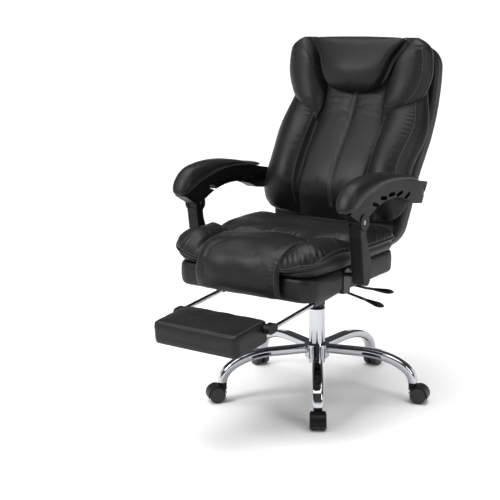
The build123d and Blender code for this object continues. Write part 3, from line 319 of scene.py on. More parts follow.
def smooth_path(path, rounds):
    """Moving average over three neighbours, repeated, with the ends held."""
    path = np.array(path, float)
    for _ in range(rounds):
        path[1:-1] = (path[:-2] + 2 * path[1:-1] + path[2:]) / 4
    return path


def stitches(name, rows, pitch=0.0050, length=0.0036, radius=0.00055):
    """Sewing thread: one small rounded bar per stitch. Each bar is a six-sided spindle of four
    rings, turned to run along its row and to lie on the surface normal. rows holds (path, normals)."""
    sides, spindle = 6, ((-1.0, 0.25), (-0.6, 1.0), (0.6, 1.0), (1.0, 0.25))    # shares of length, radius
    corners = sides * len(spindle)
    ring = np.linspace(0, 2 * np.pi, sides, endpoint=False)
    bar = np.concatenate([
        np.stack([0 * ring + s * length / 2, w * radius * np.cos(ring), w * radius * np.sin(ring)], axis=-1)
        for s, w in spindle])
    index = np.arange(corners).reshape(len(spindle), sides)
    turn = np.roll(index, -1, axis=1)
    faces = np.stack([index[:-1], turn[:-1], turn[1:], index[1:]], axis=-1).reshape(-1, 4)
    points, quads, count = [], [], 0
    for path, normals in rows:
        if len(path) < 3:
            continue
        run = running_length(path)
        at = np.arange(pitch / 2, run[-1], pitch)
        place = read_at(at, run, path)
        along = unit_rows(read_at(at + 0.001, run, path) - place)
        side = unit_rows(np.cross(read_at(at, run, normals), along))
        out = np.cross(along, side)
        turned = (bar[None, :, :1] * along[:, None] + bar[None, :, 1:2] * side[:, None]
                  + bar[None, :, 2:] * out[:, None] + place[:, None])
        points.append(turned.reshape(-1, 3))
        quads.append((np.arange(len(at))[:, None, None] * corners + faces[None] + count).reshape(-1, 4))
        count += len(at) * corners
    return make_mesh(name, np.concatenate(points), np.concatenate(quads))


# -------------------- materials
def linear(hex_colour):
    """sRGB hex to linear RGBA."""
    c = np.array([int(hex_colour[i:i + 2], 16) for i in (1, 3, 5)]) / 255
    c = np.where(c <= 0.04045, c / 12.92, ((c + 0.055) / 1.055)**2.4)
    return (*c, 1.0)


def add_node(tree, kind, settings=(), **links):
    """Adds a node, sets its properties and constant inputs, and links the named inputs."""
    node = tree.nodes.new(kind)
    for key, value in dict(settings).items():
        if key in node.inputs:
            node.inputs[key].default_value = value
        else:
            setattr(node, key, value)
    for key, source in links.items():
        tree.links.new(source, node.inputs[key.replace("_", " ")])
    return node


def new_material(name, constants):
    """Material with a Principled shader whose sockets take the given constants."""
    material = bpy.data.materials.new(name)
    material.use_nodes = True
    shader = material.node_tree.nodes["Principled BSDF"]
    for socket, value in constants.items():
        shader.inputs[socket].default_value = value
    return material, material.node_tree, shader


def pu_leather(name, colour, rough, grain=1.0):
    """Polyurethane-coated split leather, embossed with a fine pebble grain: about 1.2 mm pebbles,
    with 25 mm soft creases where the coating has worked, which break up a broad, dull sheen."""
    material, tree, shader = new_material(name, {"IOR": 1.47, "Specular IOR Level": 0.26})
    place = add_node(tree, "ShaderNodeTexCoord").outputs["Object"]
    pebbles = add_node(tree, "ShaderNodeTexVoronoi",
                       {"feature": "SMOOTH_F1", "Scale": 830.0, "Smoothness": 0.6}, Vector=place)
    creases = add_node(tree, "ShaderNodeTexNoise",
                       {"Scale": 38.0, "Detail": 3.0, "Roughness": 0.5, "Distortion": 0.4}, Vector=place)
    patches = add_node(tree, "ShaderNodeTexNoise", {"Scale": 9.0, "Detail": 2.0}, Vector=place)
    soft = add_node(tree, "ShaderNodeBump", {"Strength": 0.12, "Distance": 0.0012},
                    Height=creases.outputs["Fac"])
    fine = add_node(tree, "ShaderNodeBump", {"Strength": 0.22 * grain, "Distance": 0.0002, "invert": True},
                    Height=pebbles.outputs["Distance"], Normal=soft.outputs["Normal"])
    gloss = add_node(tree, "ShaderNodeMapRange",
                     {"From Min": 0.3, "From Max": 0.7, "To Min": rough - 0.04, "To Max": rough + 0.05},
                     Value=patches.outputs["Fac"])
    tint = add_node(tree, "ShaderNodeMix", {"data_type": "RGBA"}, Factor=creases.outputs["Fac"])
    tint.inputs[6].default_value = linear(colour)
    tint.inputs[7].default_value = tuple(v * 1.25 for v in linear(colour)[:3]) + (1.0,)
    tree.links.new(tint.outputs[2], shader.inputs["Base Color"])
    tree.links.new(gloss.outputs["Result"], shader.inputs["Roughness"])
    tree.links.new(fine.outputs["Normal"], shader.inputs["Normal"])
    return material


def worn_surface(name, colour, constants, rough, pitch, depth, strength=0.15, spread=0.05):
    """Hard finish with a fine surface texture of the given pitch in millimetres: noise at that
    pitch drives a small bump, and a slow noise shifts the roughness by spread. Where the real
    texture is finer, the pitch is as coarse as it needs to be to show."""
    material, tree, shader = new_material(name, {"Base Color": linear(colour), **constants})
    place = add_node(tree, "ShaderNodeTexCoord").outputs["Object"]
    texture = add_node(tree, "ShaderNodeTexNoise", {"Scale": 1000.0 / pitch, "Detail": 2.0}, Vector=place)
    slow = add_node(tree, "ShaderNodeTexNoise", {"Scale": 14.0, "Detail": 3.0}, Vector=place)
    bump = add_node(tree, "ShaderNodeBump", {"Strength": strength, "Distance": depth},
                    Height=texture.outputs["Fac"])
    gloss = add_node(tree, "ShaderNodeMapRange",
                     {"From Min": 0.3, "From Max": 0.7, "To Min": rough - spread, "To Max": rough + spread},
                     Value=slow.outputs["Fac"])
    tree.links.new(gloss.outputs["Result"], shader.inputs["Roughness"])
    tree.links.new(bump.outputs["Normal"], shader.inputs["Normal"])
    return material


def plywood(name):
    """Birch plywood, rotary cut and stained black for seating: long soft figure along the board's
    width, between darker growth lines about 6 mm apart, just visible under the stain."""
    material, tree, shader = new_material(name, {"Roughness": 0.62})
    place = add_node(tree, "ShaderNodeTexCoord").outputs["Object"]
    stretch = add_node(tree, "ShaderNodeMapping", {"Scale": (12.0, 160.0, 160.0)}, Vector=place)
    figure = add_node(tree, "ShaderNodeTexNoise", {"Scale": 1.0, "Detail": 5.0, "Distortion": 0.8},
                      Vector=stretch.outputs["Vector"])
    ramp = add_node(tree, "ShaderNodeValToRGB", {}, Fac=figure.outputs["Fac"])
    ramp.color_ramp.elements[0].color = linear("#121212")
    ramp.color_ramp.elements[1].color = linear("#1C1B1A")
    tree.links.new(ramp.outputs["Color"], shader.inputs["Base Color"])
    return material


leather = pu_leather("black_pu_leather_embossed", "#111112", 0.45)
leather_piping = pu_leather("black_pu_leather_piping", "#141415", 0.40, grain=0.5)
# Polished chrome plate on steel: a mirror with a trace of haze, streaked dark and pale by the room.
chrome = worn_surface("chrome_plate_polished", "#B6B8BC", {"Metallic": 1.0},
                      0.05, 2.0, 0.00002, 0.04, 0.015)
# Turned steel, zinc plated: a soft grey metal sheen that blurs what it mirrors.
steel = worn_surface("zinc_plated_steel_turned", "#A9ABAE", {"Metallic": 1.0}, 0.32, 0.8, 0.00005)
# Moulded nylon with a fine spark-eroded skin: dull black with a weak, broad highlight.
nylon = worn_surface("black_nylon_moulded", "#0B0B0C", {"IOR": 1.53, "Specular IOR Level": 0.18},
                     0.46, 0.9, 0.00006)
# Moulded nylon scuffed by rolling: its gloss varies more from place to place.
wheel_nylon = worn_surface("black_nylon_wheel_moulded", "#0E0E0F", {"IOR": 1.53},
                           0.45, 0.7, 0.00006, spread=0.08)
# Powder-coated steel: satin black with a slight orange peel.
powder = worn_surface("black_powder_coated_steel", "#0F0F10", {"IOR": 1.5}, 0.42, 1.2, 0.0001, 0.25)
birch = plywood("black_stained_birch_plywood")
# Twisted black polyester thread: a faint sheen, and its base colour lightened to grey as a painted sheen,
# so that its stitches show on black leather.
thread = worn_surface("black_polyester_thread_painted_sheen", "#4A4A4E", {"IOR": 1.5, "Sheen Weight": 0.3},
                      0.55, 0.6, 0.0001, 0.3)

FINISHES = {
    "chrome": chrome, "steel": steel, "black_plastic": nylon, "wheel_nylon": wheel_nylon,
    "black_metal": powder, "plywood": birch, "leather": leather,
}
SLOTS = {
    "chrome": ["base_star", "gas_cylinder", "footrest_rails"],
    "steel": ["caster_sockets", "gas_rod", "seat_bolts", "recline_shaft", "footrest_axle"]
    + [f"caster_{i}_pins" for i in range(1, 6)] + ["arm_bolt_right", "arm_bolt_left"],
    "black_plastic": ["cylinder_bush", "height_lever_grip", "recline_lever_grip", "footrest_brackets"]
    + [f"caster_{i}_hood" for i in range(1, 6)]
    + [f"arm_{part}_{hand}" for part in ("frame", "upright") for hand in ("right", "left")],
    "wheel_nylon": [f"caster_{i}_wheel_{hand}" for i in range(1, 6) for hand in ("left", "right")],
    "black_metal": ["gas_tube", "seat_mechanism", "footrest_tracks", "recline_ears", "arm_seat_brackets",
                    "height_lever", "recline_lever", "back_brackets", "arm_mounts"],
    "plywood": ["seat_board", "footrest_board", "back_board"],
    "leather": ["seat_box", "seat_cushion", "footrest_pad", "back_shell", "back_cushion", "head_pillow",
                "wing_right", "wing_left", "arm_pad_right", "arm_pad_left"],
}


def coat(piece, material):
    """Gives a piece one material all over."""
    piece.data.materials.clear()
    piece.data.materials.append(material)


for slot_name, nodes in SLOTS.items():
    for node in nodes:
        coat(bpy.data.objects[node], FINISHES[slot_name])


def dress(piece, material, body, replaced=()):
    """Gives a piece its finish, its body and what it stands for."""
    coat(piece, material)
    if replaced:
        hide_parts(*replaced)
    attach(piece, body)
    return piece


# -------------------- seat
SEAT_TOP, SEAT_SEAM, SEAT_UNDER = 0.5450, 0.5150, 0.4756
SEAT_HALF_X, SEAT_HALF_Y, SEAT_HALF_Z, SEAT_CORNER = 0.2490, 0.2455, 0.035, 0.066
SEAT_CENTRE_Y = -0.168
SEAT_RIM = 0.034


def seat_section(edge, z):
    """Edge of the seat pad. Above the piping: a quarter ellipse 55 mm deep up to the top. Below it:
    a welt groove, then a roll that tucks in 22 mm under. Both use the blank's own quarter circle."""
    def stretched(to):
        beyond = to + (edge - SEAT_RIM) * (SEAT_CORNER - to) / (SEAT_CORNER - SEAT_RIM)
        return np.where(edge < SEAT_RIM, edge * to / SEAT_RIM, beyond)

    share = np.clip(abs(z) / SEAT_HALF_Z, 0, 1)
    welt = 0.0065 * bell(share, 0.22, 0.16) * (share < 0.9)
    edge = np.where(z >= 0, stretched(0.055), stretched(0.022) + welt)
    above, below = SEAT_SEAM + (SEAT_TOP - SEAT_SEAM) * share, SEAT_SEAM - (SEAT_SEAM - SEAT_UNDER) * share
    return edge, np.where(z >= 0, above, below)


def crease_line(x):
    """Where the thigh panel meets the rear pad: 195 mm forward in the middle, 262 mm at the panel's
    corners, and back out to 180 mm at the seat's side."""
    a = abs(x)
    outside = -0.262 + 0.082 * np.clip((a - 0.138) / 0.1, 0, 1)**0.8
    return np.where(a < 0.138, -0.195 - 0.067 * (a / 0.138)**2, outside)


def seam_drop(x, y):
    """How far the seat's piping hangs below its usual height: 26 mm at the front beside the thigh
    panel and less at the front corners. Beside the bolsters it lies 16 mm above that height."""
    front = 0.026 * ease(-y, 0.365, 0.412) * (1 - 0.6 * ease(abs(x), 0.15, 0.22))
    return front - 0.016 * bell(y, -0.29, 0.10)


def seat_relief(x, y):
    """Height of the seat's top over a flat pad: front side bolsters as smooth steps that fall away
    to the sides, a crowned rear pad with a shallow hollow, creases as bells across the crease line
    and along the panel's seams, and two pinched tufts."""
    a, past = abs(x), crease_line(x) - y
    bolster = 0.018 * ease(a, 0.134, 0.182) * ease(past, -0.004, 0.055) * (1 - 0.45 * ease(-y, 0.35, 0.41))
    bolster = bolster * (1 - 0.45 * ease(a, 0.205, 0.250))
    hollow = 0.010 * bell(a, 0, 0.12) * bell(y, -0.08, 0.09)
    rear = (0.006 + 0.005 * bell(a, 0.185, 0.05) - hollow) * ease(-past, 0.0, 0.05)
    rear = rear * ease(-y, -0.05, 0.02)
    under_panel = -0.016 * (1 - ease(a, 0.126, 0.140)) * ease(past, 0.0, 0.016)
    crease = -0.010 * bell(past, 0, 0.0075) * (1 - 0.4 * ease(a, 0.14, 0.24))
    seam = -0.012 * bell(a, 0.1385, 0.0055) * ease(past, 0.0, 0.02)
    tufts = -0.011 * (bell(a, 0.084, 0.020) * bell(past, 0, 0.016))
    return bolster + rear + under_panel + crease + seam + tufts


def seat_cushion():
    """Seat pad: the slab with seat_section at its edge and seat_relief on top, puckered where the
    cover is gathered into the piping and the creases."""
    half = (SEAT_HALF_X, SEAT_HALF_Y, SEAT_HALF_Z)
    x, y, z, quads = slab(half, SEAT_CORNER, SEAT_RIM, 0.0046, seat_section)
    yw = y + SEAT_CENTRE_Y
    top = np.clip((z - SEAT_SEAM) / (SEAT_TOP - SEAT_SEAM), 0, 1)
    relief = seat_relief(x, yw)
    past = crease_line(x) - yw
    round_rim = np.arctan2(x, -(yw - SEAT_CENTRE_Y)) * 0.30
    gathers = 0.0021 * np.sin(round_rim * 430 + 1.6 * np.sin(round_rim * 61)) * bell(top, 0.42, 0.34)
    puckers = 0.0008 * np.sin(x * 420 + 2 * np.sin(x * 70)) * bell(abs(past), 0.016, 0.010) * top
    gathers = gathers * ease(-yw, 0.16, 0.24) + puckers
    z = z + top * relief + gathers + 0.0015 * crumple(x * 55, yw * 55, 3) * ease(top, 0.3, 1)
    z = z - seam_drop(x, yw) * (1 - top) * ease(z, SEAT_UNDER, SEAT_SEAM)
    x = x * (1 - 0.045 * ease(SEAT_SEAM - 0.012 - z, 0.0, 0.020) * ease(-yw, 0.24, 0.37))
    seams = bell(past, 0, 0.008) + bell(abs(x), 0.1385, 0.007) * (past > 0)
    held = (1 - ease(top, 0.02, 0.20)) + seams + (past > 0.01) * (abs(x) < 0.134) + ease(yw, 0.0, 0.03)
    piece = make_mesh("seat_cushion_leather", np.stack([x, yw, z], axis=-1), quads)
    return filled(piece, held, 0.016, 0.006)


# Middle line of the thigh panel's thickness, from its rear end over the front edge and down (y, z).
PANEL_PATH = np.array([
    (-0.1760, 0.5230), (-0.1900, 0.5300), (-0.2150, 0.5365), (-0.2600, 0.5405),
    (-0.3100, 0.5430), (-0.3500, 0.5400), (-0.3860, 0.5270), (-0.4110, 0.5030),
    (-0.4220, 0.4750), (-0.4225, 0.4480), (-0.4165, 0.4230), (-0.4090, 0.4115),
])
PANEL_HALF = 0.1375


def panel_line():
    """Middle line of the thigh panel, smoothed, with its outward directions and running share."""
    path = smooth_path(evenly(np.insert(PANEL_PATH, 0, 0, axis=1), 0.0048), 24)
    along = unit_rows(np.gradient(path, axis=0))
    out = np.stack([0 * along[:, 0], along[:, 2], -along[:, 1]], axis=-1)
    return path, out, np.linspace(0, 1, len(path))[:, None]


def panel_flare(run):
    """Half width of the thigh panel as a share of PANEL_HALF: 2 % wider towards its lower end."""
    return 1 + 0.022 * bell(run, 0.97, 0.2)


def panel_set_back(x, run):
    """How far the panel is moved in y so that its rear end follows the crease line."""
    return np.clip(crease_line(x) + 0.195, -0.08, 0) * (1 - ease(run, 0.0, 0.42))


def panel_edge(way, inset, lift):
    """Line along one side of the thigh panel, in from its edge by inset and off its middle surface
    by lift, with its outward directions."""
    path, out, run = panel_line()
    x = way * (PANEL_HALF * panel_flare(run) - inset)
    edge = path + out * lift
    edge[:, 0] = x[:, 0]
    edge[:, 1] += panel_set_back(x, run)[:, 0]
    return edge, out


def seat_panel():
    """Thigh panel that runs over the seat's front: a flat lens section, 275 mm wide, carried along
    a path in the middle plane, its rear end set back along the crease line. The section is half the
    width times the cosine to the power 0.5, and half the thickness times the sine to the power 0.7,
    each with its sign."""
    path, out, run = panel_line()
    angle = np.linspace(0, 2 * np.pi, 120, endpoint=False)
    c, s = np.cos(angle), np.sin(angle)
    wide = np.sign(c) * abs(c)**0.5
    thick = np.sign(s) * abs(s)**0.7
    end = np.sqrt(np.clip(1 - np.clip((0.05 - run) / 0.05, 0, 1)**2, 0, 1)) * np.sqrt(
        np.clip(1 - np.clip((run - 0.975) / 0.025, 0, 1)**2, 0, 1))
    end = np.clip(end, 0.04, 1)
    swell = 0.0125 + 0.0065 * bell(run, 0.66, 0.18)
    x = PANEL_HALF * wide[None] * (panel_flare(run) - 0.02 * (1 - end))
    rise = swell * thick[None] * end
    front = thick[None] > 0
    edge = PANEL_HALF - abs(x)
    gathers = 0.0012 * np.sin(run * 190 + 1.7 * np.sin(run * 33) + np.sign(x)) * bell(edge, 0.014, 0.013)
    rise = rise + gathers * front
    rise = rise + 0.0016 * crumple(x * 50, run * 24, 5) * front
    points = path[:, None] + out[:, None] * rise[..., None]
    points[..., 0] = x
    points[..., 1] += panel_set_back(x, run)
    index = np.arange(points[..., 0].size).reshape(points.shape[:2])
    turn = np.roll(index, -1, axis=1)
    quads = np.stack([index[:-1], turn[:-1], turn[1:], index[1:]], axis=-1).reshape(-1, 4)
    ends = [index[0][::-1].tolist(), index[-1].tolist()]
    sewn = (thick[None] <= 0.15) | (abs(wide[None]) > 0.95) | (run < 0.07)
    held = np.broadcast_to(sewn, rise.shape).ravel().astype(float)
    return filled(make_mesh("seat_thigh_panel", points, quads.tolist() + ends), held, 0.003, 0.004)


def seat_box_cover():
    """Upholstered seat frame: the slab with softly bowed sides and faint pull marks."""
    x, y, z, quads = slab((0.2305, 0.2405, 0.0348), 0.046, 0.012, 0.007)
    bow = 0.0025 * (1 - (z / 0.035)**2)
    points = np.stack([
        x * (1 + bow / 0.23) + 0.0006 * crumple(y * 50, z * 90, 11) * np.sign(x),
        y * (1 + bow / 0.24) - 0.161, z + 0.4400], axis=-1)
    return make_mesh("seat_box_leather", points, quads)


def leg_rest():
    """Footrest pad: the slab, crowned above and below, its sides drawn in a little between two
    sewn grooves, turned to the rails' slope."""
    half_x, half_y = 0.1425, 0.0765
    x, y, z, quads = slab((half_x, half_y, 0.0325), 0.016, 0.013, 0.0045)
    crown = (1 - (x / half_x)**2) * (1 - (y / half_y)**2)
    z = z + 0.0025 * crown * np.sign(z) * (abs(z) > 0.02)
    pull = 1 - 0.010 * (1 - (z / 0.033)**2)
    x, y = x * pull, y * pull
    seam = bell(abs(z), 0.0235, 0.0016) * 0.0012
    x, y = x - seam * x / half_x, y - seam * y / half_y
    z = z + 0.0008 * crumple(x * 70, y * 70, 13) * (z > 0)
    points = FOOT_CENTRE + x[:, None] * [1, 0, 0] + y[:, None] * FOOT_ALONG + z[:, None] * FOOT_UP
    held = ease(abs(z), 0.022, 0.026) * ease(np.maximum(abs(x) - 0.120, abs(y) - 0.054), 0.0, 0.008)
    piece = make_mesh("footrest_pad_leather", points, quads)
    return filled(piece, np.clip(held + (z < 0), 0, 1), 0.001, 0.0012, pressure=3.0)


# -------------------- backrest
SHELL_FOOT, SHELL_TOP, SHELL_NOTCH = 0.4575, 1.0590, 0.0400


def back_shell():
    """Outer shell: the slab bent to the back's line, narrowing to its foot, its middle notched at
    the bottom for the hinge, and its rear bellied a little."""
    half_x, half_s, half_d = 0.240, 0.302, 0.0254
    x, s, d, quads = slab((half_x, half_s, half_d), 0.070, 0.012, 0.0065)
    share = (s + half_s) / (2 * half_s)
    foot = SHELL_FOOT + SHELL_NOTCH * (1 - ease(abs(x), 0.142, 0.156))
    height = foot + share * (SHELL_TOP - foot)
    x = x * (0.925 + 0.075 * ease(height, 0.455, 0.600))
    belly = 0.004 * (1 - (x / half_x)**2) * np.sin(np.pi * share)
    depth = d + half_d + np.where(d < 0, belly, 0)
    return make_mesh("back_shell_leather", on_back(x, height, depth), quads)


# Half width of the back and depth of its side rolls, over the height on the back's line.
bolster_width = cubic_through([0.50, 0.55, 0.60, 0.66, 0.72, 0.77, 0.83, 0.90, 1.07],
                              [0.244, 0.2540, 0.2570, 0.2515, 0.2600, 0.2610, 0.2500, 0.2350, 0.228])
bolster_crown = cubic_through([0.50, 0.55, 0.62, 0.72, 0.80, 0.88, 0.95, 1.07],
                              [0.110, 0.130, 0.147, 0.149, 0.141, 0.126, 0.112, 0.106])
BOLSTER_SEAM = 0.1215
CUSHION_MIDDLE = 0.808


def back_depth(a, height):
    """Depth of the back cushion's front at half width a: a gently crowned middle panel with a fine
    groove down its middle, a deep seam beside it, and outside it a full roll, a power of the sine
    over the roll's width."""
    middle = 0.1095 + 0.0050 * (1 - np.clip(a / 0.12, 0, 1)**3)
    wide, crown = bolster_width(height)[0], bolster_crown(height)[0]
    t = np.clip((a - BOLSTER_SEAM) / (wide - BOLSTER_SEAM), 0, 1)
    roll = 0.102 + (crown - 0.102) * np.sin(np.pi * (0.06 + 0.94 * t**0.86))**0.62 - 0.010 * t**3
    blend = ease(a, BOLSTER_SEAM - 0.005, BOLSTER_SEAM + 0.004)
    seam = 0.012 * bell(a, BOLSTER_SEAM, 0.0050) + 0.0022 * bell(a, 0, 0.0038)
    return middle * (1 - blend) + roll * blend - seam


def top_lean(height):
    """How far the middle of the back falls away towards its top, where the pillow rolls over it."""
    return 0.030 * ease(height, 0.965, 1.100)


def back_cushion():
    """Sewn back cushion: the slab bent to the back's line, its half width following the bolsters,
    its front pushed out to back_depth and its foot lowered in the middle and thinned to a tail that
    clears the seat. Soft gathers run beside the seams, and the side seam is a fine groove."""
    half_x, half_d = 0.2365, 0.030
    x, s, d, quads = slab((half_x, 0.257, half_d), 0.046, 0.0255, 0.0052)
    height = s + CUSHION_MIDDLE
    lowered = 0.022 - 0.011 * ease(abs(x), 0.140, 0.220)
    height = height - lowered * (1 - ease(height, 0.551, 0.640))
    wide = bolster_width(height)[0]
    a = abs(x) * (1 + (wide / half_x - 1) * ease(abs(x), 0.118, 0.215))
    front = ease(d, -0.022, 0.029)
    tail = 1 - 0.74 * (1 - ease(height, 0.530, 0.610)) * (1 - 0.60 * ease(abs(x), 0.140, 0.200))
    front_depth = back_depth(a, height) - top_lean(height) * (1 - ease(a, 0.150, 0.190))
    rear_depth = PANEL_REAR + 0.001
    deep = rear_depth + (front_depth - rear_depth) * tail * (d + half_d) / (2 * half_d)
    gather = 0.0008 * np.sin(height * 470 + 3 * np.sin(height * 60)) * bell(a, 0.139, 0.012)
    gather = gather + 0.0010 * np.sin(height * 430 + 2 * np.sin(height * 45)) * bell(a, wide - 0.040, 0.014)
    deep = deep + front * (gather + 0.0009 * crumple(x * 38, height * 22, 17))
    deep = deep - 0.0024 * bell(a, wide - 0.022, 0.0030) * front
    tuck = 1 - 0.090 * ease(-d, -0.014, 0.030)
    x = np.sign(x) * a * np.where(a > 0.12, tuck, 1 + (tuck - 1) * a / 0.12)
    seams = bell(a, BOLSTER_SEAM, 0.007) + 0.8 * bell(a, 0, 0.006) + 0.8 * bell(a, wide - 0.022, 0.005)
    held = 1 - ease(d, -0.016, -0.004) + seams
    piece = make_mesh("back_cushion_leather", on_back(x, height, deep), quads)
    return filled(piece, held, 0.002, 0.0035)


PILLOW_FOOT, PILLOW_TOP = 0.8800, 1.0905


def pillow_width(share):
    """Half width of the head pillow, growing from 92 mm at its foot to 178 mm at its top."""
    return 0.0920 + 0.0640 * np.clip(share, 0, 1)**0.8 + 0.0220 * ease(share, 0.60, 1.0)


def head_pillow():
    """Head pillow: a slab widened upwards, full in the middle, drawn to a thin flange along both
    sides, and leaning back towards its top with the cushion under it."""
    half_x, half_s = 0.1250, 0.0955
    x, s, d, quads = slab((half_x, half_s, 0.0280), 0.030, 0.0262, 0.0042)
    share = (s + half_s) / (2 * half_s)
    u = x / half_x
    full = (1 - abs(u)**2.6) * (1 - abs(2 * share - 1)**3.0)
    flange = ease(abs(u), 0.85, 0.925)
    depth = PANEL_FRONT + 0.0245 + d * (0.50 + 0.50 * full) + 0.008 * full * ease(d, -0.01, 0.027)
    flange_depth = PANEL_FRONT + 0.0110
    depth = flange_depth + (depth - flange_depth) * (1 - 0.70 * flange)
    front = ease(d, -0.02, 0.027)
    seam = 0.0020 * bell(abs(u), 0.865, 0.020)
    depth = depth - front * seam + front * 0.0007 * crumple(x * 34, s * 40, 23)
    height = PILLOW_FOOT + share * (PILLOW_TOP - PILLOW_FOOT) - 0.005 * u**2 * ease(share, 0.5, 1)
    depth = depth - top_lean(height)
    height = height + 0.022 * abs(u)**3 * ease(-share, -0.45, 0)
    held = 1 - ease(d, -0.018, -0.006) + flange
    piece = make_mesh("head_pillow_leather", on_back(u * pillow_width(share), height, depth), quads)
    return filled(piece, held, 0.004, 0.004)


WING_FOOT, WING_TOP = 0.7700, 1.0840
WING_HALF_X, WING_HALF_S, WING_CORNER = 0.056, 0.128, 0.032
# Half widths of the wing's outer and inner edge lines, over its height from toe to top.
wing_outer = cubic_through([0, 0.12, 0.25, 0.42, 0.60, 0.83, 0.93, 1.0],
                           [0.128, 0.172, 0.211, 0.238, 0.251, 0.249, 0.240, 0.224])
wing_inner = cubic_through([0, 0.15, 0.30, 0.60, 0.88, 1.0], [0.116, 0.109, 0.106, 0.110, 0.122, 0.134])
WING_MIDDLE = 0.1080


def wing_shares(x, s):
    """A point of the wing's blank as shares of its width and height."""
    return (x + WING_HALF_X) / (2 * WING_HALF_X), (s + WING_HALF_S) / (2 * WING_HALF_S)


def wing_place(across, share):
    """Half width and height on the back of a point of the wing: across runs from the inner to the
    outer edge line, share from the toe to the top."""
    inner, outer = wing_inner(share)[0], wing_outer(share)[0]
    return inner + across * (outer - inner), WING_FOOT + share * (WING_TOP - WING_FOOT)


def wing(way, hand):
    """Shoulder wing: a slab with large round corners fitted between its two edge lines, swelling to
    its middle, thin where the pillow lies over it, with gathers in from the piped outer edge."""
    x, s, d, quads = slab((WING_HALF_X, WING_HALF_S, 0.0500), WING_CORNER, 0.0370, 0.0046)
    across, share = wing_shares(x, s)
    a, height = wing_place(across, share)
    full = (1 - abs(2 * across - 1)**2.6) * (1 - abs(2 * share - 1)**3)
    thick = (0.62 + 0.38 * full) * (0.55 + 0.45 * ease(share, 0, 0.25)) * np.where(d < 0, 1.0, 0.94)
    depth = WING_MIDDLE + d * thick
    pillow_edge = pillow_width((height - PILLOW_FOOT) / (PILLOW_TOP - PILLOW_FOOT))
    clear = ease(a, pillow_edge - 0.008, pillow_edge + 0.022)
    under_pillow = WING_MIDDLE + (depth - WING_MIDDLE) * (0.12 + 0.88 * clear)
    depth = np.where(depth > WING_MIDDLE, under_pillow, depth)
    depth = depth - top_lean(height) * (1 - clear) * ease(d, -0.050, 0.010)
    rim = (1 - across) * ease(share, 0.1, 0.3)
    gather = 0.0011 * np.sin(height * 400 + 4 * np.sin(height * 46)) * bell(rim, 0.16, 0.13)
    creases = 0.0008 * crumple(x * 45, height * 34, 31 if way > 0 else 37)
    depth = depth + gather * ease(d, -0.01, 0.03) + creases * ease(d, -0.02, 0.04)
    if way < 0:
        quads = quads[:, ::-1]
    held = 1 - ease(d, -0.030, -0.012) + bell(d, 0, 0.006)
    piece = make_mesh(f"wing_leather_{hand}", on_back(way * a, height, depth), quads)
    return filled(piece, held, 0.004, 0.003)


# -------------------- armrests
PAD_HALF_X, PAD_HALF_Y, PAD_CORNER = 0.0345, 0.1985, 0.030
PAD_CENTRE_Y = -0.1270
# Heights of the pad's underside and crown along y.
pad_foot = cubic_through([-0.326, -0.300, -0.243, -0.194, -0.118, -0.060, 0.024, 0.072],
                         [0.6435, 0.6500, 0.6760, 0.6900, 0.7030, 0.7038, 0.6950, 0.6865])
pad_crown = cubic_through([-0.328, -0.304, -0.255, -0.185, -0.100, 0.000, 0.072],
                          [0.6640, 0.7000, 0.7270, 0.7345, 0.7290, 0.7110, 0.6985])


def arm_pad(way, hand):
    """Arm pad: the slab laid along the arm's curve, its underside and crown following two
    splines of y, crowned across its width and narrowing to the tip."""
    half_z = 0.0170
    x, y, z, quads = slab((PAD_HALF_X, PAD_HALF_Y, half_z), PAD_CORNER, 0.0150, 0.0042)
    run = y + PAD_CENTRE_Y
    under, over = pad_foot(run)[0], pad_crown(run)[0]
    share = (z + half_z) / (2 * half_z)
    across = x / PAD_HALF_X
    crown = (over - under) * (1 - 0.20 * across**2 * ease(share, 0.3, 1.0))
    height = under + 0.0008 + crown * share
    height = height + 0.0009 * crumple(run * 55, x * 50, 41) * ease(share, 0.5, 1)
    wide = (1 - 0.16 * ease(-run, 0.20, 0.33)) * (1 + 0.04 * bell(share, 0.45, 0.3))
    seam = 0.0012 * bell(share, 0.26, 0.05)
    sideways = way * ARM_X + x * wide - np.sign(x) * seam
    return make_mesh(f"arm_pad_leather_{hand}", np.stack([sideways, run, height], axis=-1), quads)


seat = dress(seat_cushion(), leather, "seat", ["seat_cushion"])
panel = dress(seat_panel(), leather, "seat", ())
dress(seat_box_cover(), leather, "seat", ["seat_box"])
rest = dress(leg_rest(), leather, "footrest_pad", ["footrest_pad"])
shell = dress(back_shell(), leather, "back", ["back_shell"])
cushion = dress(back_cushion(), leather, "back", ["back_cushion"])
pillow = dress(head_pillow(), leather, "back", ["head_pillow"])
wings = {way: dress(wing(way, hand), leather, "back", [f"wing_{hand}"])
         for way, hand in SIDES}
pads = {way: dress(arm_pad(way, hand), leather, f"arm_{hand}", [f"arm_pad_{hand}"])
        for way, hand in SIDES}


# -------------------- seams
def back_row(tree, x, heights):
    """A row on the back's front: x and heights are arrays, dropped square to the back's line."""
    inward = on_back(x, heights, 0.0) - on_back(x, heights, 1.0)
    return laid_on(tree, on_back(x, heights, 0.13), inward)


def seat_seam(out, rise=0.0):
    """Closed line round the seat pad at its piping, moved outwards and upwards, with the outward
    directions."""
    loop = round_rectangle(SEAT_HALF_X + out, SEAT_HALF_Y + out, SEAT_CORNER + out)
    y = loop[:, 1] + SEAT_CENTRE_Y
    place = np.stack([loop[:, 0], y, SEAT_SEAM + rise - seam_drop(loop[:, 0], y)], axis=-1)
    return place, outward(place)


